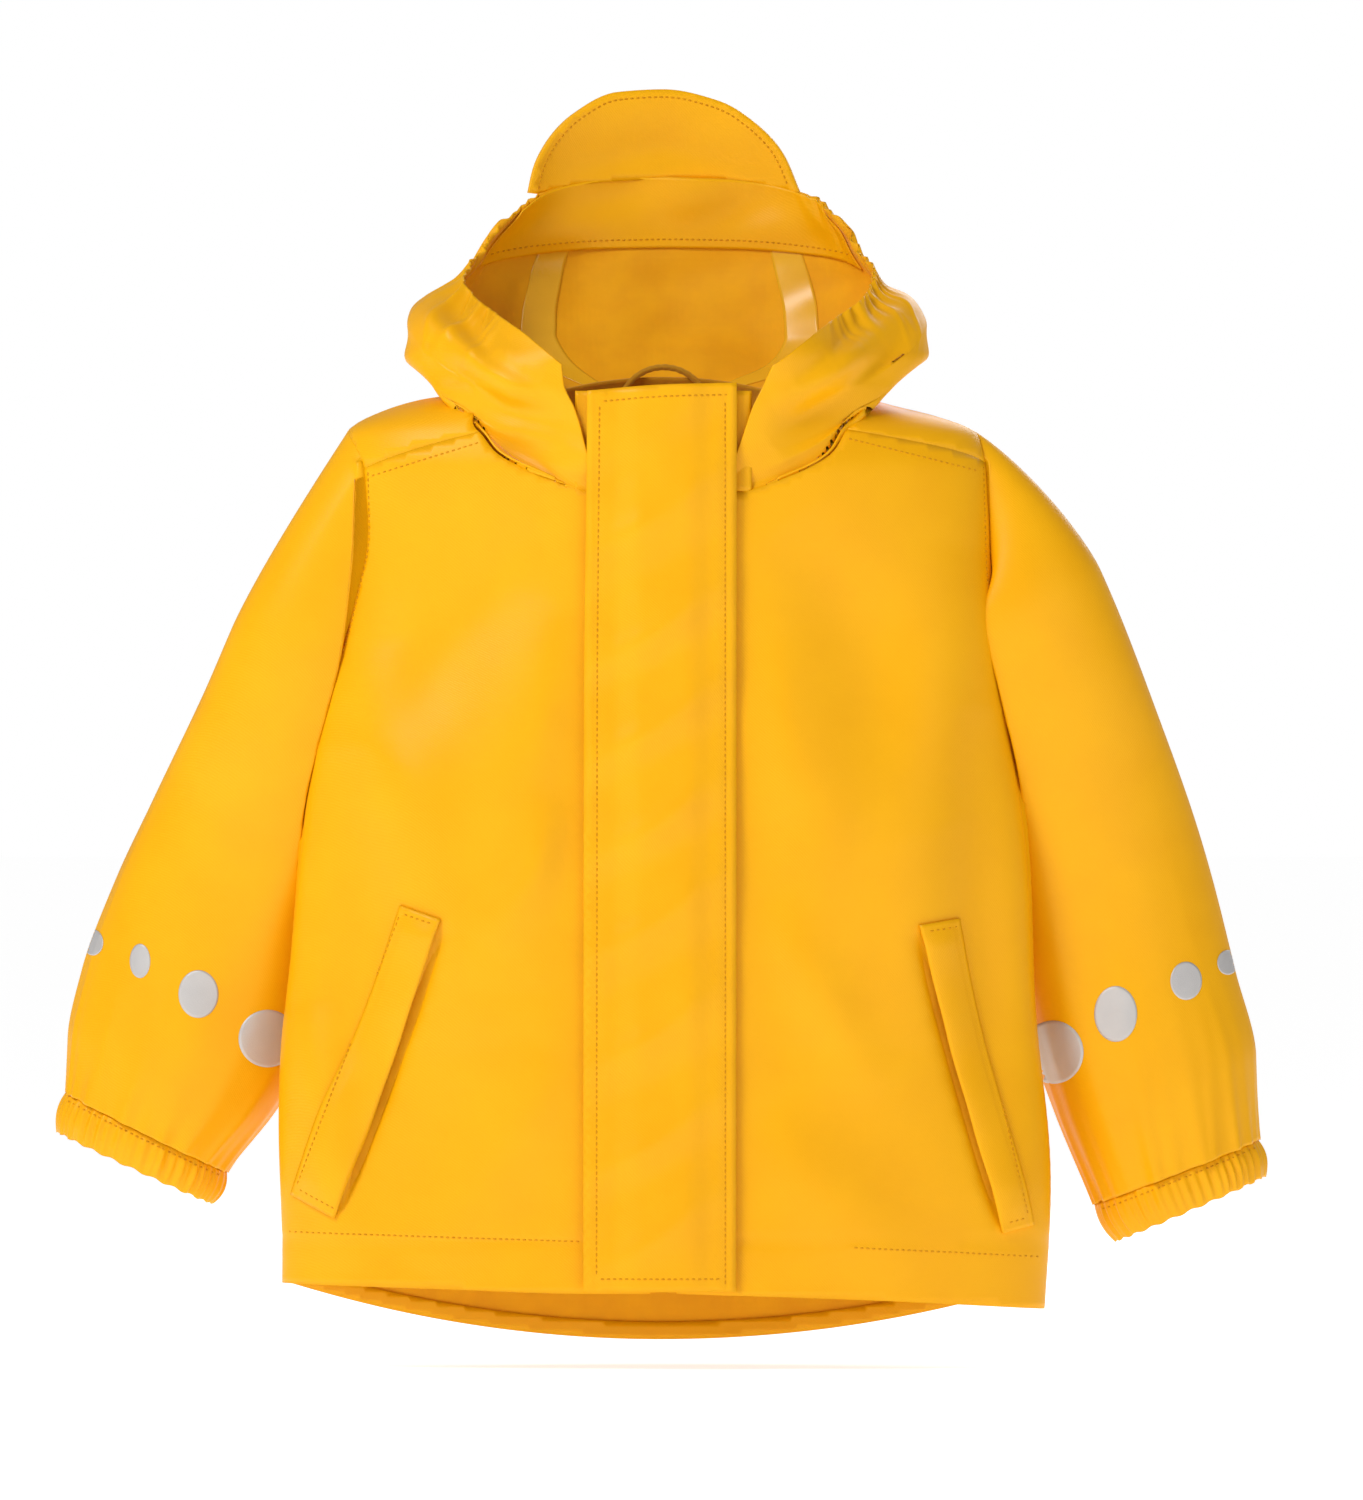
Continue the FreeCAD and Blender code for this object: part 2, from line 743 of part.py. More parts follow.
def make_zip_side(side):
    sign = SIGNS[side]
    row = "(teeth_half_gap + teeth_width)"

    tape = new_body(f"zip_tape_{side}", y=FRONT, z="zip_bottom")
    strip = corners(
        f"{sign} * {row}", "zip_depth - zip_tape_thickness / 2", f"{sign} * zip_tape_edge", "zip_depth + zip_tape_thickness / 2"
    )
    extrude(
        tape,
        f"{side}_tape_pad",
        outline(tape, f"{side}_tape_outline", "XY_Plane", strip),
        "zip_top - zip_bottom",
    )
    keep(tape)

    teeth = new_body(f"zip_teeth_{side}", y=FRONT, z="zip_bottom + zip_end_height")
    cord = corners(
        f"{sign} * ({row} - zip_tape_thickness)",
        "zip_depth - zip_tape_thickness",
        f"{sign} * {row}",
        "zip_depth + zip_tape_thickness",
    )
    length = "(zip_top - zip_bottom - 2 * zip_end_height)"
    extrude(teeth, f"{side}_cord", outline(teeth, f"{side}_cord_outline", "XY_Plane", cord), length)
    shift = "0" if side == "left" else "teeth_pitch / 2"
    reach = (f"{sign} * teeth_half_gap", f"{sign} * {row}")
    side_view = corners(reach[0], f"{length} - {shift}", reach[1], f"{length} - {shift} - tooth_height")
    tooth_sketch = outline(teeth, f"{side}_tooth_outline", "XZ_Plane", side_view)
    tooth = extrude(teeth, f"{side}_tooth", tooth_sketch, "teeth_thickness", middle=True)
    tooth_sketch.AttachmentOffset = FreeCAD.Placement(FreeCAD.Vector(0, 0, -1), FreeCAD.Rotation())
    tooth_sketch.setExpression("AttachmentOffset.Base.z", formula("-zip_depth"))
    repeat_down(teeth, f"{side}_teeth", [tooth], f"floor({length} / teeth_pitch)", "teeth_pitch")
    keep(teeth)


make_zip_side("left")
make_zip_side("right")

stops = new_body("zip_stops", y=FRONT, z="zip_top - zip_end_height")
for side, sign in SIGNS.items():
    stop = corners(
        f"{sign} * teeth_half_gap",
        "zip_depth - teeth_thickness / 2",
        f"{sign} * (teeth_half_gap + teeth_width)",
        TEETH_BACK,
    )
    extrude(
        stops,
        f"{side}_stop",
        outline(stops, f"{side}_stop_outline", "XY_Plane", stop),
        "zip_end_height / 2",
    )
keep(stops)

zip_box = new_body("zip_box", y=FRONT, z="zip_bottom")
box_outline = corners(
    "-teeth_half_gap - teeth_width", "zip_depth - teeth_thickness / 2", "teeth_half_gap + teeth_width", TEETH_BACK
)
extrude(
    zip_box, "zip_box_pad", outline(zip_box, "zip_box_outline", "XY_Plane", box_outline), "zip_end_height"
)
keep(zip_box)

guard = new_body("zip_guard", y=FRONT, z="zip_bottom")
guard_foot = "guard_half_width - guard_thickness"
guard_outline = [
    ("-guard_half_width", "guard_depth"),
    (guard_foot, "guard_depth"),
    (guard_foot, "zip_depth + zip_tape_thickness / 2"),
    ("guard_half_width", "zip_depth + zip_tape_thickness / 2"),
    ("guard_half_width", "guard_depth + guard_thickness"),
    ("-guard_half_width", "guard_depth + guard_thickness"),
]
extrude(
    guard,
    "guard_pad",
    outline(guard, "guard_section", "XY_Plane", guard_outline),
    "zip_top - zip_bottom - zip_end_height",
)
keep(guard)

slider = new_body("zip_slider", y=FRONT, z="slider_middle - slider_height / 2")
inside_front = "zip_depth - teeth_thickness / 2 - slider_clearance"
inside_back = "zip_depth + teeth_thickness / 2 + slider_clearance"
slider_back = f"{inside_back} + slider_plate"
slider_section = [
    ("-slider_width / 2", PLATE_FRONT),
    ("slider_width / 2", PLATE_FRONT),
    ("slider_width / 2", inside_front),
    ("slider_post / 2", inside_front),
    ("slider_post / 2", inside_back),
    ("slider_width / 2", inside_back),
    ("slider_width / 2", slider_back),
    ("-slider_width / 2", slider_back),
    ("-slider_width / 2", inside_back),
    ("-slider_post / 2", inside_back),
    ("-slider_post / 2", inside_front),
    ("-slider_width / 2", inside_front),
]
extrude(
    slider,
    "slider_plates",
    outline(slider, "slider_section", "XY_Plane", slider_section),
    "slider_height",
)
lug_outline = corners(
    f"{PLATE_FRONT} - lug_reach", "(slider_height - lug_reach) / 2", PLATE_FRONT, "(slider_height + lug_reach) / 2"
)
lug_sketch = outline(slider, "lug_outline", "YZ_Plane", lug_outline)
extrude(slider, "lug", lug_sketch, "lug_width", middle=True)
bore_sketch = circle(
    slider, "pin_bore_outline", "YZ_Plane", "pin_radius + pin_clearance", PIN_DEPTH, "slider_height / 2"
)
extrude(slider, "pin_bore", bore_sketch, "2 * lug_width", kind="Pocket", middle=True)
keep(slider)

pull = new_body("zip_pull", y=f"{FRONT} + {PIN_DEPTH}", z="slider_middle")
arm_inside = "lug_width / 2 + slider_clearance"
arm_top = "pin_radius + slider_clearance + pull_thickness / 2"
pull_outline = [
    (arm_inside, arm_top),
    ("pull_width / 2", arm_top),
    ("pull_width / 2", "-pull_length"),
    ("-pull_width / 2", "-pull_length"),
    ("-pull_width / 2", arm_top),
    (f"-({arm_inside})", arm_top),
    (f"-({arm_inside})", "-lug_reach"),
    (arm_inside, "-lug_reach"),
]
extrude(
    pull,
    "pull_plate",
    outline(pull, "pull_outline", "XZ_Plane", pull_outline),
    "pull_thickness",
    middle=True,
)
extrude(
    pull,
    "pull_pin",
    circle(pull, "pull_pin_outline", "YZ_Plane", "pin_radius"),
    "pull_width - slider_clearance",
    middle=True,
)
grip_sketch = circle(
    pull, "pull_hole_outline", "XZ_Plane", "pull_hole_radius", "0", "pull_width / 2 - pull_length"
)
extrude(pull, "pull_hole", grip_sketch, "2 * pull_thickness", kind="Pocket", middle=True)
keep(pull)

# ------------------------------------------------- storm flap and its studs


def flap_line(below):
    """The flap's bent section at a distance in front of its inner face."""
    return [
        ("-flap_free_edge", f"-flap_edge_rise - {below}"),
        ("-flap_bridge - flap_slope", f"-flap_edge_rise - {below}"),
        ("-flap_bridge", f"-flap_bridge_rise - {below}"),
        ("flap_bridge", f"-flap_bridge_rise - {below}"),
        ("flap_sewn_edge", f"-flap_foot_rise - {below}"),
    ]


def make_flap_layer(name, near, far):
    body = new_body(name, y=FRONT, z="flap_bottom")
    section = flap_line(near) + flap_line(far)[::-1]
    extrude(
        body,
        f"{name}_pad",
        outline(body, f"{name}_section", "XY_Plane", section),
        "flap_top - flap_bottom",
    )
    return keep(body)


make_flap_layer("flap_facing", "0", "facing_layer")
make_flap_layer("storm_flap", "facing_layer", "(facing_layer + flap_layer)")

sockets = new_body("stud_sockets", y=f"{FRONT} - flap_edge_rise + socket_rise")
socket_sketch = annulus(
    sockets,
    "socket_outline",
    "XZ_Plane",
    "stud_radius",
    "stud_knob_radius + socket_clearance",
    "-stud_middle",
    "stud_top",
)
socket = extrude(sockets, "socket", socket_sketch, "socket_rise")
repeat_down(sockets, "socket_row", [socket], "stud_count", "stud_pitch")
keep(sockets)

# the base of each stud is trimmed to the curved panel that it is set in
studs = new_body("stud_blanks", y=f"{FRONT} + wall")
base = extrude(
    studs,
    "stud_disc",
    circle(studs, "stud_disc_outline", "XZ_Plane", "stud_radius", "-stud_middle", "stud_top"),
    "wall + stud_base / 4",
)
knob = extrude(
    studs,
    "stud_knob",
    circle(studs, "stud_knob_outline", "XZ_Plane", "stud_knob_radius", "-stud_middle", "stud_top"),
    "wall + stud_base / 4 + stud_knob_rise",
)
repeat_down(studs, "stud_row", [base, knob], "stud_count", "stud_pitch")
keep(cut("press_studs", cut("studs_below_neck", studs, torso_outer), collar_outer))

# ------------------------------------------------------------------- hood

HOOD_LEVELS = ["base", "foot", "low", "full", "side", "high", "top", "peak"]


def hood_loft(name, inset="0", overrun="overrun"):
    sections = []
    for level in HOOD_LEVELS:
        shift = {"base": f"- {overrun}", "peak": f"+ {overrun}"}.get(level, "")
        sections.append(
            ellipse(
                f"{name}_{level}",
                f"hood_{level}_width - 2 * ({inset})",
                f"hood_{level}_depth - 2 * ({inset})",
                "0",
                f"hood_{level}_middle",
                f"hood_{level}_height {shift}",
            )
        )
    return loft(name, sections)


def half_space(name, y, z, tilt, above):
    """All that is above, or below, a plane that rises towards the back."""
    item = doc.addObject("Part::Box", name)
    bind(item, Length="far", Width="far", Height="far")
    sink = "0" if above else "far"
    place(
        item,
        "-far / 2",
        f"({y}) - far / 3 * cos({tilt}) + {sink} * sin({tilt})",
        f"({z}) - far / 3 * sin({tilt}) - {sink} * cos({tilt})",
        X_AXIS,
        tilt,
    )
    return item


hood_outer = hood_loft("hood_outer", overrun="0")
hood_inner = hood_loft("hood_inner", "wall")
hood_lining = hood_loft("hood_lining", "wall + lining")
hood_shell = cut("hood_shell", hood_outer, hood_inner)
above_rim = half_space("above_rim", "rim_front", "rim_front_height", "rim_tilt", True)
below_base = half_space("below_base", "base_back", "base_back_height", "base_tilt", False)
front_gap = box("front_gap", ("-hood_edge", "-far", "-far"), ("hood_edge", NECK_MIDDLE, "far"))
hood_under_rim = cut("hood_under_rim", hood_shell, above_rim)
hood_over_base = cut("hood_over_base", hood_under_rim, below_base)
hood_body = cut("hood_body", hood_over_base, torso_clear)


def hood_box(name, low_x, high_x):
    return box(name, (low_x, "-far", "-far"), (high_x, "far", "far"))


centre_box = cut("hood_centre_box", hood_box("hood_centre_stock", "-panel_seam", "panel_seam"), front_gap)
left_box = cut("hood_left_box", hood_box("hood_left_stock", "panel_seam", "far"), front_gap)
right_box = cut("hood_right_box", hood_box("hood_right_stock", "-far", "-panel_seam"), front_gap)
keep(common("hood_centre_panel", hood_body, centre_box))
keep(common("hood_side_left", hood_body, left_box))
keep(common("hood_side_right", hood_body, right_box))


def below_rim(name, drop):
    """All that is further below the rim's plane than a drop."""
    return half_space(name, "rim_front", f"rim_front_height - ({drop})", "rim_tilt", False)


hood_ring = cut("hood_ring", hood_inner, hood_lining)
facing_box = box(
    "facing_box", ("-facing_half_width", NECK_MIDDLE, "-far"), ("facing_half_width", "far", "far")
)
below_facing = below_rim("below_facing", "facing_height")
facing_zone = cut("facing_zone", cut("facing_under_rim", facing_box, above_rim), below_facing)
keep(common("hood_facing", hood_ring, facing_zone))

for side in SIGNS:
    casing_box = side_box(
        f"{side}_casing_box", side, "facing_half_width + seam_gap", "far", "-far", "far", far="far"
    )
    under_rim = cut(f"{side}_casing_under_rim", casing_box, above_rim)
    casing_zone = cut(
        f"{side}_casing_zone", under_rim, below_rim(f"{side}_below_casing", "rim_elastic_width")
    )
    keep(common(f"rim_elastic_{side}", hood_ring, casing_zone))

tape_zone = fuse(
    "seam_tape_zone",
    box(
        "seam_tape_box_left",
        ("panel_seam", MIDDLE, "hood_full_height"),
        ("panel_seam + seam_tape_width", "far", "far"),
    ),
    box(
        "seam_tape_box_right",
        ("-panel_seam - seam_tape_width", MIDDLE, "hood_full_height"),
        ("-panel_seam", "far", "far"),
    ),
)
keep(common("hood_seam_tapes", hood_ring, tape_zone, below_facing))

visor_disc = cylinder_along_y(
    "visor_disc", "visor_radius", "0", "visor_middle_height", "hood_top_middle", "far"
)
visor_zone = cut("visor_zone", visor_disc, below_rim("below_visor", "-visor_gap"))
keep(common("visor", hood_shell, visor_zone))

# ------------------------------------------------------- checks and export

doc.recompute()
faulty = [item.Name for item in doc.Objects if {"Invalid", "Error"} & set(item.State)]
if faulty:
    raise SystemExit(f"failed to compute: {faulty}")
for node in nodes:
    if node.Shape.isNull() or not node.Shape.isValid() or node.Shape.Volume <= 0:
        raise SystemExit(f"{node.Label} has no valid shape")

os.makedirs("parts", exist_ok=True)
for node in nodes:
    node.Shape.exportStep(f"parts/{node.Label}.step")
    print(f"{node.Label}: {len(node.Shape.Solids)} solid(s), {node.Shape.Volume:.1f} mm3")
print(len(nodes), "sub-parts")
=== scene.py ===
import math

import bpy
import numpy as np
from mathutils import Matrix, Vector
from mathutils.bvhtree import BVHTree
from mathutils.geometry import delaunay_2d_cdt


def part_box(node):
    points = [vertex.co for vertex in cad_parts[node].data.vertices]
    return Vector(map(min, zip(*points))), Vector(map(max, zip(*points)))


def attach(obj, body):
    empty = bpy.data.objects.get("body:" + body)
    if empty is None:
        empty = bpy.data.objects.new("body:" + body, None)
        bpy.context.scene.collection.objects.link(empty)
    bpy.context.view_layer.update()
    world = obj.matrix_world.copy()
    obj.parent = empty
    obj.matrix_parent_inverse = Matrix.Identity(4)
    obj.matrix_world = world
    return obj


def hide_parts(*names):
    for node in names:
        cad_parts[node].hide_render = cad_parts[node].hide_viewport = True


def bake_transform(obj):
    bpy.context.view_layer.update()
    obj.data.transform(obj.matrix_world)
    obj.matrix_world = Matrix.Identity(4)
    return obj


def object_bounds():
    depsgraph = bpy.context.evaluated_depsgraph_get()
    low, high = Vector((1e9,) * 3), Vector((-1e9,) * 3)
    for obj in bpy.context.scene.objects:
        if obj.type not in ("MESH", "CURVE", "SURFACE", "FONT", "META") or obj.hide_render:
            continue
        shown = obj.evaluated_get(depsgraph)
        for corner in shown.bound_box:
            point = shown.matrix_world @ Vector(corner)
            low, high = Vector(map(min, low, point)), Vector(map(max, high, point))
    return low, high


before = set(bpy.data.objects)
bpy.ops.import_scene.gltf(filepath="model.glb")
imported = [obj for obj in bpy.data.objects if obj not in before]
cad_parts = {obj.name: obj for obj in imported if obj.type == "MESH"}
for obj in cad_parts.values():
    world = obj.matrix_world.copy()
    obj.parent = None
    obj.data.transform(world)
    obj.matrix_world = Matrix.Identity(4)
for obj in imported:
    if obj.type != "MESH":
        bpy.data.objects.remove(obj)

cad_low, cad_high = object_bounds()
bpy.ops.object.select_all(action="DESELECT")

# Lengths in this script are millimetres until a mesh is made.
MM = 0.001
CLOTH = 1.1
SEED = 7


# ------------------------------------------------------------ smooth curves
def smooth(at, xs, ys):
    """A curve through a few values, without overshoot between them."""
    xs, ys = np.asarray(xs, float), np.asarray(ys, float)
    step = np.diff(xs)
    rise = np.diff(ys) / step
    slope = np.zeros(len(xs))
    slope[0], slope[-1] = rise[0], rise[-1]
    same_way = rise[:-1] * rise[1:] > 0
    slope[1:-1] = np.where(
        same_way, 2 * rise[:-1] * rise[1:] / np.where(same_way, rise[:-1] + rise[1:], 1), 0
    )
    at = np.clip(np.asarray(at, float), xs[0], xs[-1])
    i = np.clip(np.searchsorted(xs, at) - 1, 0, len(step) - 1)
    t = (at - xs[i]) / step[i]
    return (
        (1 + 2 * t) * (1 - t) ** 2 * ys[i]
        + t * (1 - t) ** 2 * step[i] * slope[i]
        + t**2 * (3 - 2 * t) * ys[i + 1]
        + t**2 * (t - 1) * step[i] * slope[i + 1]
    )


def ease(t):
    t = np.clip(t, 0, 1)
    return t * t * (3 - 2 * t)


def bell(d, width):
    return np.exp(-((d / width) ** 2))


def curve(points, step=3.0, bend=True):
    """Points about a step apart along a line through a few points."""
    p = np.asarray(points, float)
    along = np.concatenate([[0], np.cumsum(np.linalg.norm(np.diff(p, axis=0), axis=1))])
    at = np.linspace(0, along[-1], max(2, int(along[-1] / step) + 1))
    pick = smooth if bend and len(p) > 2 else np.interp
    return np.stack([pick(at, along, p[:, k]) for k in range(p.shape[1])], axis=1)


def to_line(x, z, line):
    """Distance to a line of points, and how far along it, 0 to 1."""
    p = np.asarray(line, float)
    best = np.full(np.shape(x), 1e9)
    share = np.zeros(np.shape(x))
    for i, (a, b) in enumerate(zip(p[:-1], p[1:])):
        d = b - a
        t = np.clip(((x - a[0]) * d[0] + (z - a[1]) * d[1]) / (d @ d), 0, 1)
        far = np.hypot(x - a[0] - t * d[0], z - a[1] - t * d[1])
        near = far < best
        best = np.where(near, far, best)
        share = np.where(near, (i + t) / (len(p) - 1), share)
    return best, share


def crease(x, z, line, width, height):
    """A soft fold along a line, fading at both ends."""
    far, share = to_line(x, z, line)
    return height * bell(far, width) * np.sin(np.pi * np.clip(share, 0.02, 0.98)) ** 0.6


def ripple(x, z, seed, size, height):
    """Slow uneven waves in a cloth."""
    r = np.random.default_rng(seed)
    total = np.zeros(np.shape(x))
    for _ in range(7):
        turn, phase, scale = r.uniform(0, math.pi), r.uniform(0, 2 * math.pi), r.uniform(0.6, 1.7)
        total = total + np.sin(
            (x * math.cos(turn) + z * math.sin(turn)) * 2 * math.pi / (size * scale) + phase
        )
    return height * total / 3.5


# -------------------------------------------------------------------- meshes
def piece(name, points, faces, *materials, shade=True):
    """A mesh object of points in millimetres."""
    mesh = bpy.data.meshes.new(name)
    mesh.from_pydata(
        [tuple(p) for p in np.asarray(points, float) * MM], [], [tuple(int(i) for i in f) for f in faces]
    )
    mesh.validate()
    made = bpy.data.objects.new(name, mesh)
    bpy.context.scene.collection.objects.link(made)
    for material in materials:
        mesh.materials.append(material)
    if shade:
        mesh.polygons.foreach_set("use_smooth", [True] * len(mesh.polygons))
    return made


def thicken(made, thickness=CLOTH, lined=False, offset=-1.0):
    """Gives a sheet its cloth thickness, inwards, with its second material inside."""
    wall = made.modifiers.new("cloth", "SOLIDIFY")
    wall.thickness = thickness * MM
    wall.offset = offset
    wall.use_even_offset = False
    wall.use_rim = True
    if lined:
        wall.material_offset = 1
    return made


def grid_faces(rows, columns, closed=False):
    width = columns if closed else columns - 1
    faces = []
    for r in range(rows - 1):
        for c in range(width):
            d = (c + 1) % columns
            faces.append((r * columns + c, r * columns + d, (r + 1) * columns + d, (r + 1) * columns + c))
    return faces


def normals_of(place, a, b, small=0.5):
    """Normals of a surface by small steps along its two measures."""
    along = place(a + small, b) - place(a - small, b)
    across = place(a, b + small) - place(a, b - small)
    n = np.cross(along, across)
    return n / np.maximum(np.linalg.norm(n, axis=1), 1e-9)[:, None]


def inside(points, border):
    """Which points lie within a closed border."""
    x, y = points[:, 0], points[:, 1]
    hit = np.zeros(len(points), bool)
    for a, b in zip(border, np.roll(border, -1, axis=0)):
        crosses = (a[1] > y) != (b[1] > y)
        if a[1] != b[1]:
            hit ^= crosses & (x < (b[0] - a[0]) * (y - a[1]) / (b[1] - a[1]) + a[0])
    return hit


def cut_cloth(border, step, lines=()):
    """Points and triangles of a flat cloth cut to a border, with finer rows along its seams."""
    border = np.asarray(border, float)
    low, high = border.min(0), border.max(0)
    rows = np.arange(low[1], high[1], step * 0.866)
    filled = []
    for i, v in enumerate(rows):
        s = np.arange(low[0] + (i % 2) * step / 2, high[0], step)
        filled.append(np.stack([s, np.full(len(s), v)], axis=1))
    fill = np.concatenate(filled)
    for line in lines:
        far, _ = to_line(fill[:, 0], fill[:, 1], line[::3] if len(line) > 6 else line)
        fill = fill[far > 3.2]
    fill = np.concatenate([fill, *lines]) if len(lines) else fill
    fill = fill[inside(fill, border)]
    closed = np.concatenate([border, border[:1]])
    far, _ = to_line(fill[:, 0], fill[:, 1], closed)
    fill = fill[far > step * 0.42]
    points = [Vector(p) for p in np.concatenate([border, fill])]
    made = delaunay_2d_cdt(points, [], [list(range(len(border)))], 1, 1e-4)
    return np.array([tuple(p) for p in made[0]]), [tuple(f) for f in made[2]]


def facing_out(points, faces, outwards):
    """Turns the faces whose normals point against a direction."""
    a, b, c = (points[[f[i] for f in faces]] for i in range(3))
    n = np.cross(b - a, c - a)
    d = outwards[[f[0] for f in faces]]
    wrong = (n * d).sum(1) < 0
    return [tuple(reversed(f)) if w else f for f, w in zip(faces, wrong)]


def tree_of(made):
    dg = bpy.context.evaluated_depsgraph_get()
    return BVHTree.FromObject(made, dg)


def press_on(tree, x, z, ahead=True, start=None):
    """Where lines along Y first meet a cloth, seen from the front or from behind, with normals."""
    direction = Vector((0, 1 if ahead else -1, 0))
    begin = (-0.3 if ahead else 0.3) if start is None else start * MM
    spots, normals, found = [], [], []
    for a, b in zip(x, z):
        hit, n, _, _ = tree.ray_cast(Vector((a * MM, begin, b * MM)), direction)
        found.append(hit is not None)
        spots.append(tuple(hit / MM) if hit is not None else (a, 0, b))
        if n is not None and n.dot(direction) > 0:
            n = -n
        normals.append(tuple(n) if n is not None else (0, -1, 0))
    return np.array(spots), np.array(normals), np.array(found)


STITCH_SPOKES = [(1, 0), (0, 1), (-1, 0), (0, -1)]


class Thread:
    """Collects the stitches of one seam colour on one body."""

    def __init__(self):
        self.points, self.faces = [], []

    def sew(self, spots, normals, found, length=2.0, radius=0.42, sunk=0.1):
        for i in range(1, len(spots) - 1):
            if not (found[i] and found[i - 1] and found[i + 1]):
                continue
            d = spots[i + 1] - spots[i - 1]
            if np.linalg.norm(d) > 14:
                continue
            d = d / np.linalg.norm(d)
            n = normals[i] - d * (normals[i] @ d)
            n = n / max(np.linalg.norm(n), 1e-6)
            side = np.cross(d, n)
            middle = spots[i] + n * (radius * 0.35 - sunk)
            first = len(self.points)
            self.points += [middle - d * length / 2, middle + d * length / 2]
            for end in (-0.28, 0.28):
                for a, b in STITCH_SPOKES:
                    self.points.append(middle + d * length * end + side * a * radius + n * b * radius * 0.8)
            ring, other = [first + 2 + k for k in range(4)], [first + 6 + k for k in range(4)]
            for k in range(4):
                m = (k + 1) % 4
                self.faces += [
                    (first, ring[k], ring[m]),
                    (ring[k], other[k], other[m], ring[m]),
                    (first + 1, other[m], other[k]),
                ]

    def finish(self, name, material, body):
        made = piece(name, self.points, self.faces, material)
        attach(made, body)
        return made


STITCH_PITCH = 2.9


def stitch_line(thread, tree, points, ahead=True, bend=True, start=None):
    line = curve(points, STITCH_PITCH, bend)
    thread.sew(*press_on(tree, line[:, 0], line[:, 1], ahead, start))


# ----------------------------------------------------------------- materials
def node_group(name, inputs, outputs):
    group = bpy.data.node_groups.new(name, "ShaderNodeTree")
    for label, kind, value in inputs:
        socket = group.interface.new_socket(label, in_out="INPUT", socket_type=kind)
        socket.default_value = value
    for label, kind in outputs:
        group.interface.new_socket(label, in_out="OUTPUT", socket_type=kind)
    return group, group.nodes.new("NodeGroupInput"), group.nodes.new("NodeGroupOutput")


FLOAT = "NodeSocketFloat"


def noise(tree, place, scale_from=None, scale=10.0, detail=3.0):
    n = tree.nodes.new("ShaderNodeTexNoise")
    n.inputs["Scale"].default_value = scale
    n.inputs["Detail"].default_value = detail
    tree.links.new(place, n.inputs["Vector"])
    if scale_from is not None:
        tree.links.new(scale_from, n.inputs["Scale"])
    return n


def maths(tree, kind, a, b):
    m = tree.nodes.new("ShaderNodeMath")
    m.operation = kind
    for socket, value in zip(m.inputs, (a, b)):
        if isinstance(value, (int, float)):
            socket.default_value = value
        else:
            tree.links.new(value, socket)
    return m.outputs[0]


def mix_colour(tree, factor, a, b):
    m = tree.nodes.new("ShaderNodeMix")
    m.data_type = "RGBA"
    for socket, value in ((m.inputs[0], factor), (m.inputs[6], a), (m.inputs[7], b)):
        if isinstance(value, (int, float)):
            socket.default_value = value
        elif isinstance(value, tuple):
            socket.default_value = (*value, 1)
        else:
            tree.links.new(value, socket)
    return m.outputs[2]


def coated_grain():
    """Fine leather-like grain and faint cloth ribs pressed through a coating."""
    group, given, out = node_group(
        "coated grain",
        [("Grain scale", FLOAT, 900.0), ("Rib scale", FLOAT, 700.0), ("Rib share", FLOAT, 0.3)],
        [("Height", FLOAT), ("Mask", FLOAT)],
    )
    place = group.nodes.new("ShaderNodeTexCoord").outputs["Object"]
    fine = noise(group, place, given.outputs["Grain scale"], detail=2.0)
    wave = group.nodes.new("ShaderNodeTexWave")
    wave.bands_direction = "DIAGONAL"
    wave.inputs["Distortion"].default_value = 1.5
    group.links.new(place, wave.inputs["Vector"])
    group.links.new(given.outputs["Rib scale"], wave.inputs["Scale"])
    ribs = maths(group, "MULTIPLY", wave.outputs["Fac"], given.outputs["Rib share"])
    group.links.new(maths(group, "ADD", fine.outputs["Fac"], ribs), out.inputs["Height"])
    slow = noise(group, place, scale=28.0, detail=4.0)
    group.links.new(slow.outputs["Fac"], out.inputs["Mask"])
    return group


def knit_weave():
    """Rows of small loops or threads."""
    group, given, out = node_group(
        "knit weave", [("Thread scale", FLOAT, 900.0)], [("Height", FLOAT), ("Mask", FLOAT)]
    )
    place = group.nodes.new("ShaderNodeTexCoord").outputs["Object"]
    waves = []
    for axis in ("X", "Z"):
        wave = group.nodes.new("ShaderNodeTexWave")
        wave.bands_direction = axis
        wave.inputs["Distortion"].default_value = 0.6
        group.links.new(place, wave.inputs["Vector"])
        group.links.new(given.outputs["Thread scale"], wave.inputs["Scale"])
        waves.append(wave.outputs["Fac"])
    group.links.new(maths(group, "MULTIPLY", *waves), out.inputs["Height"])
    slow = noise(group, place, scale=60.0, detail=3.0)
    group.links.new(slow.outputs["Fac"], out.inputs["Mask"])
    return group


GRAIN, WEAVE = coated_grain(), knit_weave()


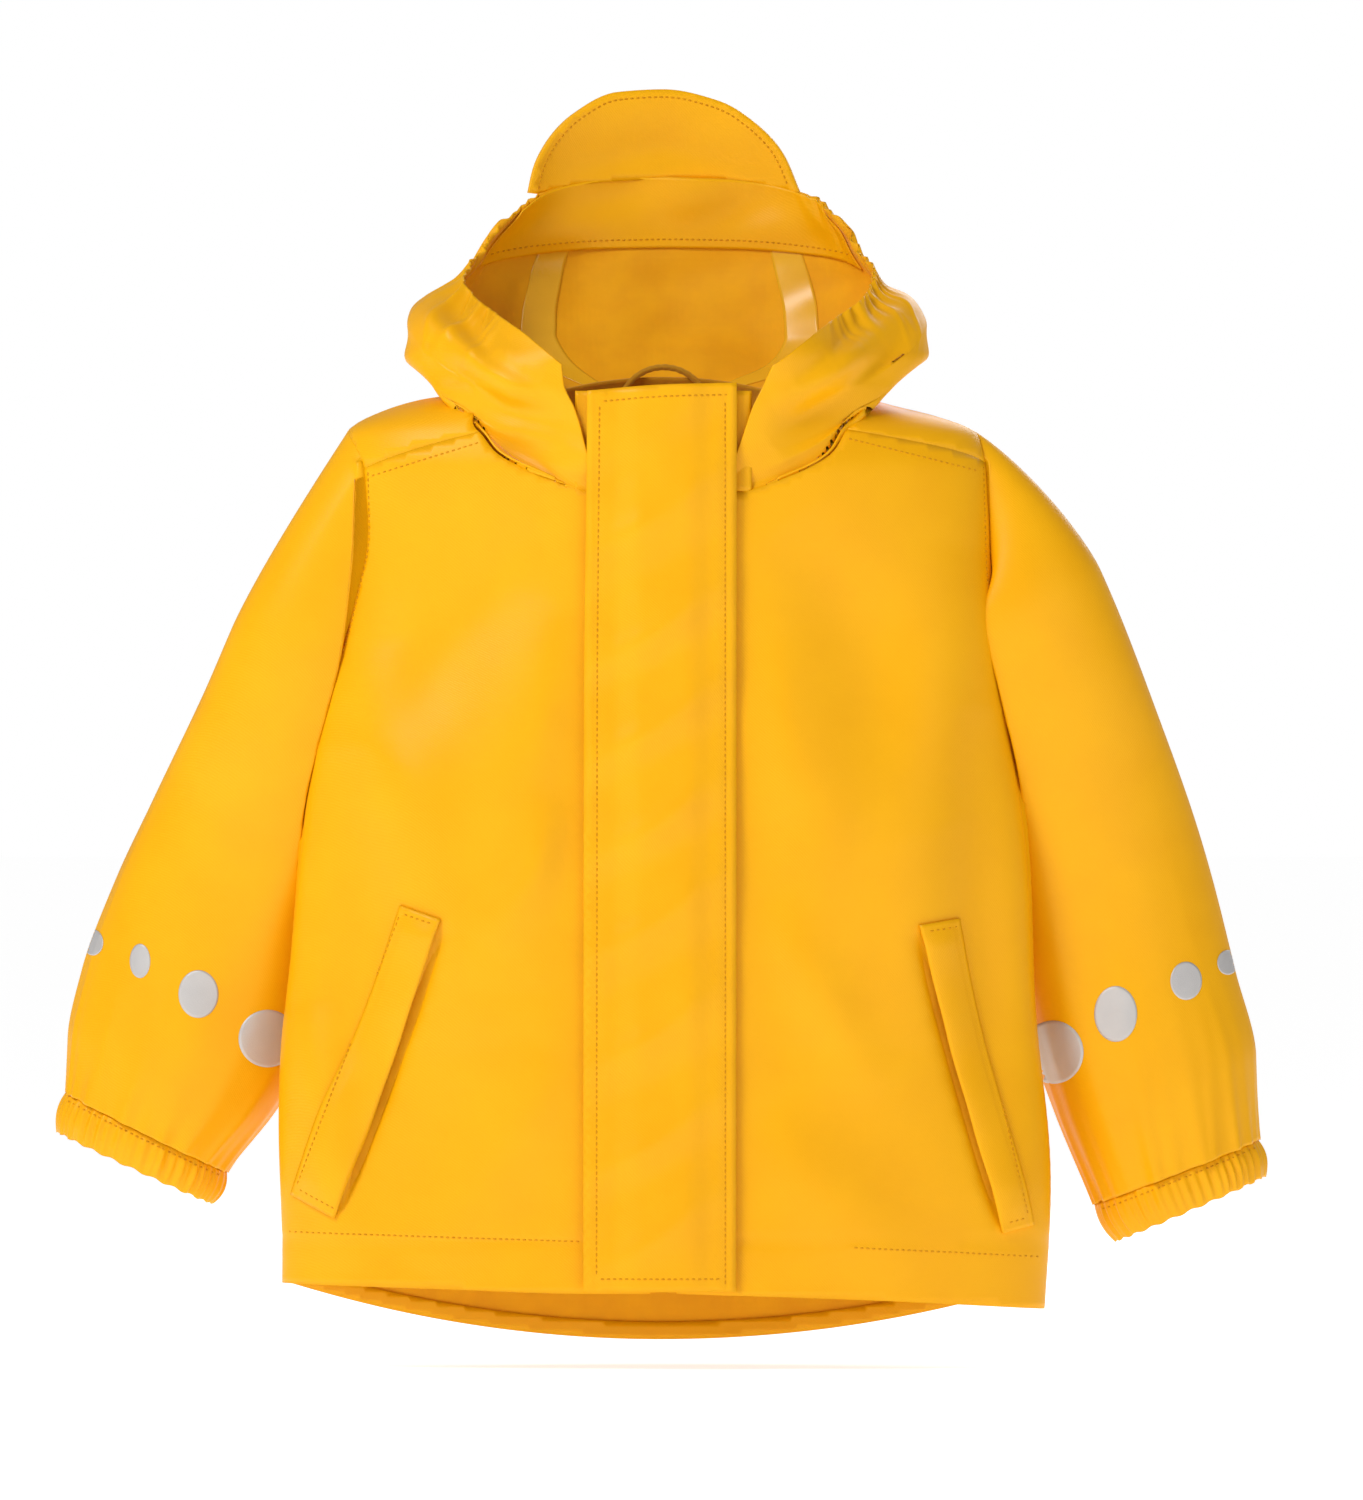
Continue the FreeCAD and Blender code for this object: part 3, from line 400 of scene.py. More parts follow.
def finish_of(
    name, group, colour, deep, roughness, spread=0.08, bump=0.1, metallic=0.0, sheen=0.0, coat=0.0, **scales
):
    """A material whose colour, gloss and relief vary over the surface."""
    m = bpy.data.materials.new(name)
    m.use_nodes = True
    tree = m.node_tree
    shader = tree.nodes["Principled BSDF"]
    effect = tree.nodes.new("ShaderNodeGroup")
    effect.node_tree = group
    for label, value in scales.items():
        effect.inputs[label.replace("_", " ")].default_value = value
    mask = tree.nodes.new("ShaderNodeMapRange")
    mask.inputs["From Min"].default_value, mask.inputs["From Max"].default_value = 0.3, 0.7
    tree.links.new(effect.outputs["Mask"], mask.inputs["Value"])
    tree.links.new(mix_colour(tree, mask.outputs[0], deep, colour), shader.inputs["Base Color"])
    gloss = tree.nodes.new("ShaderNodeMapRange")
    gloss.inputs["To Min"].default_value = roughness - spread
    gloss.inputs["To Max"].default_value = roughness + spread
    tree.links.new(effect.outputs["Mask"], gloss.inputs["Value"])
    tree.links.new(gloss.outputs[0], shader.inputs["Roughness"])
    relief = tree.nodes.new("ShaderNodeBump")
    relief.inputs["Strength"].default_value = bump
    relief.inputs["Distance"].default_value = 0.0004
    tree.links.new(effect.outputs["Height"], relief.inputs["Height"])
    tree.links.new(relief.outputs["Normal"], shader.inputs["Normal"])
    shader.inputs["Metallic"].default_value = metallic
    shader.inputs["Specular IOR Level"].default_value = 0.5 if metallic else 0.2
    if sheen:
        shader.inputs["Sheen Weight"].default_value = sheen
        shader.inputs["Sheen Roughness"].default_value = 0.4
    if coat:
        shader.inputs["Coat Weight"].default_value = coat
        shader.inputs["Coat Roughness"].default_value = 0.25
    return m


YELLOW, YELLOW_DEEP = (0.92, 0.44, 0.0008), (0.89, 0.41, 0.0006)
coated = finish_of(
    "coated_cloth", GRAIN, YELLOW, YELLOW_DEEP, 0.40, bump=0.22, Grain_scale=1100.0, Rib_scale=420.0
)
lining = finish_of(
    "cloth_inside", WEAVE, (0.93, 0.44, 0.004), (0.86, 0.38, 0.003), 0.66, bump=0.3, sheen=0.15,
    Thread_scale=520.0
)
seam_tape = finish_of(
    "seam_tape", GRAIN, (0.90, 0.50, 0.02), (0.82, 0.44, 0.015), 0.3, bump=0.1, coat=0.3, Grain_scale=600.0
)
thread_yellow = finish_of(
    "thread", WEAVE, (0.82, 0.36, 0.003), (0.72, 0.30, 0.002), 0.6, bump=0.4, Thread_scale=2600.0
)
reflective = finish_of(
    "reflective_film", GRAIN, (0.62, 0.60, 0.585), (0.52, 0.50, 0.49), 0.45, bump=0.25, metallic=0.35,
    Grain_scale=2600.0, Rib_share=0.0
)
zip_plastic = finish_of(
    "zip_plastic", GRAIN, (0.80, 0.38, 0.01), (0.70, 0.32, 0.008), 0.38, bump=0.1, Grain_scale=1500.0
)
zip_metal = finish_of(
    "zip_metal", GRAIN, (0.66, 0.65, 0.63), (0.48, 0.47, 0.46), 0.3, bump=0.12, metallic=1.0,
    Grain_scale=1800.0
)
stud_metal = finish_of(
    "stud_metal", GRAIN, (0.72, 0.71, 0.69), (0.55, 0.54, 0.52), 0.24, bump=0.1, metallic=1.0,
    Grain_scale=1600.0
)
tape_weave = finish_of(
    "zip_tape", WEAVE, (0.80, 0.37, 0.01), (0.66, 0.28, 0.008), 0.75, bump=0.6, sheen=0.2,
    Thread_scale=900.0
)
cord_weave = finish_of(
    "loop_cord", WEAVE, (0.82, 0.40, 0.012), (0.66, 0.29, 0.008), 0.7, bump=0.7, sheen=0.2,
    Thread_scale=1400.0
)

# --------------------------------------------------------------------- torso
TORSO = np.array(
    [
        # height, half width, half depth, middle
        (-480, 193.5, 55, -45),
        (-445, 193.2, 55, -45),
        (-375, 192.0, 55, -45),
        (-292, 188.0, 55, -45),
        (-212, 179.5, 55, -45),
        (-145, 171.0, 55, -45),
        (-80, 165.0, 55, -45),
        (-35, 163.0, 54.5, -44.5),
        (-17, 158.5, 51, -42),
        (-7, 139.0, 48, -40),
        (0, 112.0, 44.5, -37.5),
        (6, 84.0, 41, -35),
    ]
)
torso_v = np.concatenate([[0], np.cumsum(np.hypot(np.diff(TORSO[:, 0]), np.diff(TORSO[:, 1])))])
ROUND = 150.0


def torso_level(v):
    return [smooth(v, torso_v, TORSO[:, k]) for k in range(4)]


fine_v = np.linspace(0, torso_v[-1], 3000)
fine_z = torso_level(fine_v)[0]


def v_of(z):
    return np.interp(z, fine_z, fine_v)


def torso(s, v):
    z, w, d, m = torso_level(v)
    a = np.asarray(s) / ROUND
    return np.stack([w * np.sin(a), m - d * np.cos(a), z], axis=-1)


def on_torso(x, z, behind=False):
    """The measures on the torso of a point seen from the front or from behind."""
    z = np.asarray(z, float)
    v = v_of(z)
    w = torso_level(v)[1]
    a = np.arcsin(np.clip(np.asarray(x, float) / w, -1, 1))
    return np.stack([(np.pi - a if behind else a) * ROUND, v], axis=-1)


def turned(degrees, z):
    return np.stack([np.radians(np.asarray(degrees, float)) * ROUND, v_of(np.asarray(z, float))], axis=-1)


# Right and left are the wearer's; the wearer's left is +X.
SIDE = {"right": -1, "left": 1}
SIDE_SEAM = 94.0
ARMHOLE = {
    "right": [(94, -152), (80, -138), (73, -122), (69.5, -100), (65.8, -66), (67.4, -34)],
    "left": [(94, -152), (88, -140), (83, -115), (80.5, -82), (81, -52), (82.5, -31)],
}
ARMHOLE_BACK = [(94, -152), (104, -138), (111, -112), (114, -80), (111, -48), (101, -25), (90, -14.5)]
SHOULDER_TOP = {"right": [(90, -14.5), (80, -18), (67.4, -34)], "left": [(90, -14.5), (86, -19), (82.5, -31)]}
SHOULDER_SEAM = {"right": [(67.4, -34), (35.5, -16.5)], "left": [(82.5, -31), (36, -14.5)]}
NECKLINE = {
    "right": [(91.5, -16.5), (83, -27), (61.5, -37.5), (38, -45.5), (6.5, -49)],
    "left": [(91.5, -14.5), (84, -27), (61.5, -39), (38, -46.5), (6.5, -49)],
}
HEM = {
    "right": [(6.5, -446), (40, -446), (110, -444), (193, -442)],
    "left": [(6.5, -446), (93, -449), (148, -452), (193, -455)]
}


def torso_folds(s, v):
    p = torso(s, v)
    x, z = p[:, 0], p[:, 2]
    front = p[:, 1] < -44
    total = ripple(x, z, SEED, 190, 1.1) + ripple(x, z * 0.45, SEED + 1, 90, 0.6)
    right = [
        ([(-44, -100), (-75, -190), (-70, -300)], 26, 2.6),
        ([(-150, -120), (-120, -210), (-95, -330)], 24, 2.6),
        ([(-160, -170), (-150, -260), (-150, -420)], 22, -3.0),
        ([(-60, -60), (-105, -120), (-140, -180)], 20, -2.0),
        ([(-48, -200), (-62, -235), (-90, -275)], 12, 1.8),
        ([(-48, -330), (-85, -380), (-120, -440)], 22, 2.2),
        ([(-180, -300), (-165, -360), (-160, -440)], 14, 2.2),
    ]
    left = [
        ([(60, -60), (100, -120), (130, -220)], 24, -2.2),
        ([(150, -70), (125, -190), (120, -330)], 24, 2.6),
        ([(45, -120), (80, -210), (78, -330)], 24, 2.2),
        ([(160, -150), (160, -250), (168, -400)], 18, -2.8),
        ([(48, -250), (80, -300), (110, -350)], 14, 1.6),
        ([(45, -360), (85, -400), (125, -440)], 22, 2.0),
    ]
    ahead = sum(crease(x, z, line, width, height) for line, width, height in right + left)
    back = [
        ([(-120, -30), (-70, -120), (-40, -250)], 30, 3.0),
        ([(120, -30), (75, -130), (60, -280)], 30, 3.0),
        ([(-150, -160), (-120, -280), (-110, -440)], 26, 3.0),
        ([(150, -170), (130, -290), (115, -440)], 26, 3.2),
        ([(0, -120), (10, -260), (-5, -440)], 34, -3.0),
    ]
    behind = sum(crease(x, z, line, width, height) for line, width, height in back)
    calm = ease((np.abs(x) - 38) / 25)
    hem = 0.7 * bell(z + 420, 1.6)
    edge = ease((torso_v[-1] - v) / 40)
    relief = 2.0 * np.where(front, (total + ahead) * calm, total + behind) * edge
    return relief * ease((z + 478) / 30 + 0.45) - np.where(front, hem, 0)


def with_folds(place, folds, outwards=1.0):
    def moved(s, v):
        return place(s, v) + normals_of(place, s, v) * (folds(s, v) * outwards)[:, None]

    return moved


torso_cloth = with_folds(torso, torso_folds)


def torso_piece(name, border, inset=0.0, lines=(), step=4.0, materials=None, extra=None):
    flat, faces = cut_cloth(border, step, lines)
    points = torso_cloth(flat[:, 0], flat[:, 1])
    out = normals_of(torso, flat[:, 0], flat[:, 1])
    rise = -inset + (extra(points) if extra is not None else 0)
    points = points + out * np.broadcast_to(rise, len(points))[:, None]
    return piece(name, points, facing_out(points, faces, out), *(materials or (coated, lining)))


def sample(points, convert, step=3.5, bend=True):
    """A border line drawn through a few points, in the cloth's own measures."""
    p = np.asarray(points, float)
    flat = convert(p[:, 0], p[:, 1])
    line = curve(points, 2.0, bend)
    flat = convert(line[:, 0], line[:, 1])
    return curve(flat, step, False)


def joined(*parts):
    """One closed border of several lines, without doubled corners."""
    kept = [parts[0][0]]
    for p in np.concatenate(parts)[1:]:
        if np.linalg.norm(p - kept[-1]) > 1.2:
            kept.append(p)
    if np.linalg.norm(kept[0] - kept[-1]) < 1.2:
        kept.pop()
    return np.array(kept)


def beside(line, offsets=(-2.4, -1.1, 0, 1.1, 2.4)):
    """Rows of points along a seam, for a sharp groove."""
    d = np.gradient(line, axis=0)
    n = np.stack([-d[:, 1], d[:, 0]], axis=1) / np.linalg.norm(d, axis=1)[:, None]
    return [line + n * o for o in offsets]


WELT = {
    "right": [(-130.5, -252.5), (-109.5, -259.5), (-163.5, -409), (-186, -397.5)],
    "left": [(126.5, -262.5), (148.5, -259), (184, -412.5), (168.5, -416.5)],
}
SLIT = {"right": [(-109.5, -263), (-162, -406)], "left": [(127, -266), (169, -413)]}


def pocket_dip(side):
    def dip(points):
        far, share = to_line(points[:, 0], points[:, 2], SLIT[side])
        return -4.5 * bell(far, 3.2) * np.sin(np.pi * np.clip(share, 0, 1)) ** 0.5

    return dip


fronts = {}
for side, sign in SIDE.items():
    hem = sample([(sign * x, z) for x, z in HEM[side]], on_torso)
    seam = sample(
        [(sign * 90, HEM[side][-1][1]), (sign * SIDE_SEAM, HEM[side][-1][1] + 1)], turned, bend=False
    )
    up = sample([(sign * SIDE_SEAM, HEM[side][-1][1]), (sign * SIDE_SEAM, -152)], turned, bend=False)
    arm = sample([(sign * a, z) for a, z in ARMHOLE[side]], turned)
    shoulder = sample([(sign * a, z) for a, z in SHOULDER_SEAM[side]], turned, bend=False)
    neck = sample([(sign * x, z) for x, z in NECKLINE[side]], on_torso)
    centre = sample([(sign * 6.5, -49), (sign * 6.5, -446)], on_torso, bend=False)
    border = joined(hem, up, arm, shoulder, neck, centre)
    rows = []
    slit = sample([(x, z) for x, z in SLIT[side]], on_torso, 2.0, False)
    rows += beside(slit, (-4, -2, 0, 2, 4))
    hem_row = sample([(sign * x, z + 26) for x, z in HEM[side][1:]], on_torso, 2.5)
    rows += beside(hem_row[:-3])
    front = torso_piece(f"front_{side}", border, lines=rows, extra=pocket_dip(side))
    thicken(front, lined=True)
    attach(front, "jacket")
    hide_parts(f"front_panel_{side}", f"hem_turn_up_{side}")
    fronts[side] = front


def back_hem(x):
    return -472.5 + 609 - math.sqrt(609**2 - x**2)


angles = np.linspace(SIDE_SEAM, 360 - SIDE_SEAM, 60)
hem = turned(angles, [back_hem(193 * math.sin(math.radians(a))) for a in angles])
back_border = joined(
    curve(hem, 3.5, False),
    sample([(360 - SIDE_SEAM, back_hem(190)), (360 - SIDE_SEAM, -152)], turned, bend=False),
    sample([(360 - a, z) for a, z in ARMHOLE_BACK], turned),
    sample([(360 - a, z) for a, z in SHOULDER_TOP["right"]], turned),
    sample([(360 - a, z) for a, z in SHOULDER_SEAM["right"]], turned, bend=False),
    sample([(360 - 35.5, -16.5), (360 - 44, -6), (360 - 62, 2), (360 - 90, 5), (270 - 20, 5.8)], turned),
    sample([(250, 5.8), (110, 5.8)], turned, bend=False),
    sample([(110, 5.8), (90, 5), (62, 2), (44, -6), (36, -14.5)], turned),
    sample([(a, z) for a, z in reversed(SHOULDER_SEAM["left"])], turned, bend=False),
    sample([(a, z) for a, z in reversed(SHOULDER_TOP["left"])], turned),
    sample([(a, z) for a, z in reversed(ARMHOLE_BACK)], turned),
    sample([(SIDE_SEAM, -152), (SIDE_SEAM, back_hem(190))], turned, bend=False),
)
back = torso_piece("back", back_border, step=4.6)
thicken(back, lined=True)
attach(back, "jacket")
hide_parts("back_panel")

turn_angles = np.linspace(SIDE_SEAM + 2, 358 - SIDE_SEAM, 60)
low_edge = turned(turn_angles, [back_hem(193 * math.sin(math.radians(a))) + 0.6 for a in turn_angles])
high_edge = turned(
    turn_angles[::-1], [back_hem(193 * math.sin(math.radians(a))) + 9 for a in turn_angles[::-1]]
)
turn_up = torso_piece(
    "back_hem_fold", joined(curve(low_edge, 3.5, False), curve(high_edge, 3.5, False)), inset=CLOTH + 0.25,
    step=3.0
)
thicken(turn_up, 0.8)
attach(turn_up, "jacket")
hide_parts("hem_turn_up_back")

# ------------------------------------------------------------------- sleeves
# Each station of a sleeve: its outer edge, its inner edge, half depth and middle.
SLEEVE = {
    "right": [
        (-184, -54, -118, -84, 24, -44),
        (-207, -95, -132, -135, 27, -40),
        (-231.5, -150, -150, -190, 31, -27),
        (-256.5, -200, -160, -240, 35, -9),
        (-277, -240, -169, -282, 37, -1),
        (-294, -285, -180, -325, 37, 2),
        (-301, -320, -196, -356, 36, 2),
        (-301.5, -347.5, -220.5, -387.5, 31, 1),
    ],
    "left": [
        (190, -32, 128, -74, 24, -44),
        (210, -68, 138, -118, 27, -41),
        (234, -120, 152, -168, 31, -30),
        (258.5, -180, 163, -222, 35, -11),
        (276, -235, 171, -270, 37, -1),
        (289, -285, 181, -315, 37, 2),
        (299.5, -330, 196, -358, 36, 2),
        (299.5, -371.5, 217, -404, 31, 1),
    ],
}
CUFF = {"right": (-306.5, -367.5, -227.5, -404, 29, 1), "left": (303.5, -390, 227.5, -423, 29, 1)}
HEAD_ROWS, SLEEVE_ROWS, ROUNDS = 34, 150, 190


def armhole_ring(side, angle):
    """The seam of the armhole; 0 is the top, 90 the front, 180 under the arm."""
    sign = SIDE[side]
    ahead = np.array(list(reversed(ARMHOLE[side])) , float)
    ahead = np.concatenate([np.array(SHOULDER_TOP[side], float), ahead[1:]])
    behind = np.array(list(reversed(ARMHOLE_BACK)), float)
    lines = []
    for line in (ahead, behind):
        flat = turned(sign * line[:, 0], line[:, 1])
        lines.append(curve(flat, 1.0))
    share = np.abs(((angle + 180) % 360) - 180) / 180
    points = np.zeros((len(angle), 3))
    for front_half, line in ((True, lines[0]), (False, lines[1])):
        mine = ((angle % 360) <= 180) == front_half
        at = share[mine] * (len(line) - 1)
        s = np.interp(at, np.arange(len(line)), line[:, 0])
        v = np.interp(at, np.arange(len(line)), line[:, 1])
        points[mine] = torso_cloth(s, v)
    return points


def sleeve_point(side, row, angle):
    """A point of the sleeve by station number and turn."""
    table = np.array(SLEEVE[side])
    n = np.arange(len(table))
    ox, oz, ix, iz, depth, middle = (smooth(row, n, table[:, k]) for k in range(6))
    a = np.radians(angle)
    share = (1 + np.cos(a)) / 2
    x = ix + (ox - ix) * share
    z = iz + (oz - iz) * share
    y = middle - depth * np.sin(a)
    return np.stack([x, y, z], axis=-1)


def clear_of_torso(p, side, gap=1.6):
    """Moves what would lie inside the body's panels out against them."""
    w, d, m = (smooth(v_of(p[:, 2]), torso_v, TORSO[:, k]) for k in (1, 2, 3))
    w, d = w + gap, d + gap
    lean = np.clip((p[:, 1] - m) / d, -0.999, 0.999)
    edge = SIDE[side] * w * np.sqrt(1 - lean**2)
    under = (SIDE[side] * p[:, 0] < SIDE[side] * edge) & (np.abs(p[:, 1] - m) < d) & (p[:, 2] < -30)
    moved = p.copy()
    moved[under, 0] = edge[under]
    return moved


LAST = len(SLEEVE["right"]) - 1.0
# The station at which a sleeve's blend from the ring of its armhole ends.
HEAD_END = 1.35


def sleeve_folds(side, row, angle):
    """Folds that fan up from the gathered cuff, and broad ones along the arm."""
    r = np.random.default_rng(SEED + (side == "left"))
    away = (LAST - row) * 42
    total = np.zeros(np.shape(row))
    for centre in np.arange(0, 360, 15.0):
        centre = centre + r.uniform(-5, 5)
        wide, long, high = r.uniform(3.6, 7.0), r.uniform(14, 62), r.uniform(1.2, 3.0)
        drift = r.uniform(-0.12, 0.12)
        d = (angle - centre - drift * away + 180) % 360 - 180
        total += high * bell(d, wide) * np.exp(-away / long)
    for _ in range(7):
        centre, at = r.uniform(0, 360), r.uniform(1.2, 6.2)
        tilt, wide = r.uniform(-16, 16), r.uniform(13, 24)
        long, high = r.uniform(0.7, 1.5), r.uniform(-2.6, 2.6)
        d = (angle - centre - tilt * (row - at) + 180) % 360 - 180
        total += high * bell(d, wide) * bell(row - at, long)
    total += 1.2 * np.sin(np.radians(angle * 2 + 40 * row + 30 * (side == "left")))
    return total * ease(row / 1.0)


def ring_normals(points, rows, columns):
    """Outward normals of a closed tube of rings."""
    g = points.reshape(rows, columns, 3)
    around = np.roll(g, -1, axis=1) - np.roll(g, 1, axis=1)
    along = np.gradient(g, axis=0)
    n = np.cross(around, along)
    n /= np.maximum(np.linalg.norm(n, axis=2), 1e-9)[:, :, None]
    away = g - g.mean(axis=1, keepdims=True)
    n *= np.sign((n * away).sum(axis=2).mean())
    return n.reshape(-1, 3)


sleeves, sleeve_trees = {}, {}
for side, sign in SIDE.items():
    angle = np.arange(ROUNDS) * 360 / ROUNDS
    points, rows = [], []
    ring = armhole_ring(side, angle)
    for k in range(HEAD_ROWS):
        t = k / (HEAD_ROWS - 1)
        row = np.full(ROUNDS, HEAD_END * t)
        tube = sleeve_point(side, row, angle)
        share = ease(t)
        points.append(ring * (1 - share) + tube * share)
        rows.append(row)
    for k in range(1, SLEEVE_ROWS):
        row = np.full(ROUNDS, HEAD_END + (LAST - HEAD_END) * k / (SLEEVE_ROWS - 1))
        points.append(sleeve_point(side, row, angle))
        rows.append(row)
    count = len(rows)
    rows, points = np.concatenate(rows), np.concatenate(points)
    turns = np.tile(angle, count)
    out = ring_normals(points, count, ROUNDS)
    points = points + out * sleeve_folds(side, rows, turns)[:, None]
    body = np.arange(len(points)) >= ROUNDS
    points[body] = clear_of_torso(points, side)[body]
    faces = grid_faces(count, ROUNDS, closed=True)
    made = piece(f"arm_{side}", points, faces, coated, lining)
    bpy.context.view_layer.objects.active = made
    a, b, c = (points[[f[i] for f in faces[ROUNDS * 60 : ROUNDS * 61]]] for i in range(3))
    turned_in = (np.cross(b - a, c - a) * out[[f[0] for f in faces[ROUNDS * 60 : ROUNDS * 61]]]).sum() < 0
    if turned_in:
        made.data.flip_normals()
    thicken(made, lined=True)
    sleeve_trees[side] = tree_of(made)
    sleeves[side] = (made, points, count)


def pleats(seed, angle, count, low, high):
    """Uneven narrow gathers round an opening."""
    r = np.random.default_rng(seed)
    total = np.zeros(np.shape(angle))
    for k in range(count):
        centre = (k + r.uniform(-0.28, 0.28)) * 360 / count
        d = (angle - centre + 180) % 360 - 180
        total += r.uniform(low, high) * bell(d, 360 / count * r.uniform(0.3, 0.46))
    return total


CUFF_ROUNDS, CUFF_ROWS = 420, 30
cuffs = {}
for side, sign in SIDE.items():
    angle = np.arange(CUFF_ROUNDS) * 360 / CUFF_ROUNDS
    top, low = np.array(SLEEVE[side][-1], float), np.array(CUFF[side], float)
    gather = pleats(SEED + 5 + sign, angle, 54, 0.7, 2.1)
    rings = []
    for k in range(CUFF_ROWS):
        u = k / (CUFF_ROWS - 1)
        outer = u < 0.56
        t = u / 0.56 if outer else 1 - (u - 0.56) / 0.44 * 0.92
        edge = top + (low - top) * t
        puff = 1.5 * math.sin(math.pi * min(max(t, 0.02), 0.98)) ** 0.7
        inwards = 0.0 if outer else 3.4 * ease((u - 0.56) / 0.1)
        a = np.radians(angle)
        middle = np.array([(edge[0] + edge[2]) / 2, edge[5], (edge[1] + edge[3]) / 2])
        across = np.array([edge[0] - edge[2], 0, edge[1] - edge[3]]) / 2
        half = np.linalg.norm(across)
        grow = puff * (1 if outer else -0.3) - inwards - 1.0 + gather * (
            0.55 + 0.6 * math.sin(math.pi * t) if outer else 0.5
        )
        ring = (
            middle
            + (across / half) * ((half + grow) * np.cos(a))[:, None]
            + np.array([0, -1, 0]) * ((edge[4] + grow) * np.sin(a))[:, None]
        )
        wave = 0.5 * np.sin(np.radians(angle * 23)) * t
        ring = ring + np.array([sign * 0.35, 0, -0.93]) * wave[:, None]
        rings.append(ring)
    points = np.concatenate(rings)
    made = piece(
        f"gathered_cuff_{side}", points, grid_faces(CUFF_ROWS, CUFF_ROUNDS, closed=True), coated, lining
    )
    out = ring_normals(points[: CUFF_ROUNDS * 12], 12, CUFF_ROUNDS)
    f = grid_faces(6, CUFF_ROUNDS, closed=True)
    a, b, c = (points[[q[i] for q in f]] for i in range(3))
    if (np.cross(b - a, c - a) * out[[q[0] for q in f]]).sum() < 0:
        made.data.flip_normals()
    thicken(made, 0.7)
    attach(made, f"sleeve_{side}")
    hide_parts(f"cuff_{side}", f"cuff_elastic_{side}")
    cuffs[side] = made

# The row of reflective dots on each forearm: middle, half width and half height.
DOTS = {
    "right": [
        (-287.5, -272, 5.5, 6.5), (-263, -281, 5.2, 8.6), (-233.5, -297.5, 10, 12), (-199, -320, 14.5, 14.5)
    ],
    "left": [(284, -282, 5.5, 6.2), (262.5, -291, 8, 9.6), (227, -307.5, 10.7, 14), (196, -327, 15, 16)],
}
DOT_RINGS, DOT_SPOKES = 9, 40
for side in SIDE:
    points, faces = [], []
    for x, z, half, tall in DOTS[side]:
        first = len(points)
        spots = [(x, z)]
        for ring in range(1, DOT_RINGS + 1):
            for k in range(DOT_SPOKES):
                t = 2 * math.pi * k / DOT_SPOKES
                spots.append(
                    (x + half * ring / DOT_RINGS * math.cos(t), z + tall * ring / DOT_RINGS * math.sin(t))
                )
        spots = np.array(spots)
        hit, normal, found = press_on(sleeve_trees[side], spots[:, 0], spots[:, 1])
        points += list(hit + normal * 0.22)
        for k in range(DOT_SPOKES):
            m = (k + 1) % DOT_SPOKES
            trio = (0, 1 + k, 1 + m)
            if all(found[i] for i in trio):
                faces.append(tuple(first + i for i in trio))
            for ring in range(DOT_RINGS - 1):
                a, b = 1 + ring * DOT_SPOKES, 1 + (ring + 1) * DOT_SPOKES
                four = (a + k, b + k, b + m, a + m)
                if all(found[i] for i in four):
                    faces.append(tuple(first + i for i in four))
    used = sorted({i for f in faces for i in f})
    place = {old: new for new, old in enumerate(used)}
    points = np.array(points)[used]
    faces = [tuple(place[i] for i in f) for f in faces]
    film = piece(
        f"dots_{side}", points, facing_out(points, faces, np.tile([0.0, -1.0, 0.0], (len(points), 1))),
        reflective
    )
    thicken(film, 0.15)
    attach(film, f"sleeve_{side}")
    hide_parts(f"reflective_dots_{side}")

# ---------------------------------------------------------------------- hood
HOOD = np.array(
    [
        # height, half width, half depth, middle
        (-46, 62, 50, -46),
        (-36, 78, 54, -47),
        (-20, 95, 57, -47),
        (-5, 108, 60, -46),
        (8, 123, 66, -41),
        (25, 131, 71, -36),
        (45, 130, 72, -27),
        (62, 124, 70, -18),
        (90, 108, 59, -6),
        (125, 84, 40, 9),
        (168, 60, 25, 15),
    ]
)


def hood_level(z):
    return [smooth(z, HOOD[:, 0], HOOD[:, k]) for k in (1, 2, 3)]


# The rim's height at each turn from the front, in degrees.
RIM = np.array(
    [
        (0, 3), (17, 8.5), (30, 26), (38, 35), (55, 46), (73, 57),
        (92, 68), (109, 80), (118, 96), (135, 107.5), (163, 115), (180, 116),
    ]
)


def neck_line():
    """The seam between the hood and the body, by turn from the front."""
    rows = []
    for side, sign in SIDE.items():
        front = np.array(list(reversed(NECKLINE[side])), float)
        flat = on_torso(sign * front[:, 0], front[:, 1])
        flat = np.concatenate(
            [flat, turned([sign * 46, sign * 62, sign * 90, sign * 130, sign * 179], [-5, 2, 5, 5.8, 5.8])]
        )
        rows.append(torso(*curve(flat, 2.0).T))
    line = np.concatenate(rows)
    a = np.arctan2(line[:, 0], -(line[:, 1] + 45))
    order = np.argsort(a)
    return a[order], line[order]


NECK_TURN, NECK = neck_line()


def neck_seam(a):
    turn = (a + np.pi) % (2 * np.pi) - np.pi
    return np.stack([np.interp(turn, NECK_TURN, NECK[:, k]) for k in range(3)], axis=-1)


HOOD_ROWS = 70
HOOD_EDGE = {"right": 41, "left": 40.5}


def hood(a, t):
    """The hood by turn from the front, in radians, and share of its height."""
    seam = neck_seam(a)
    turn = np.abs((np.degrees(a) + 180) % 360 - 180)
    top = smooth(turn, RIM[:, 0], RIM[:, 1])
    low = seam[:, 2] + 4
    z = low + (top - low) * t
    w, d, m = hood_level(z)
    drawn = 1 - 0.16 * ease((t - 0.5) / 0.5) * ease((turn - 20) / 40) * ease((150 - turn) / 50)
    form = np.stack([w * drawn * np.sin(a) + 3 * ease(z / 30), m - d * drawn * np.cos(a), z], axis=-1)
    share = ease(t / 0.24)[:, None]
    return seam * (1 - share) + form * share


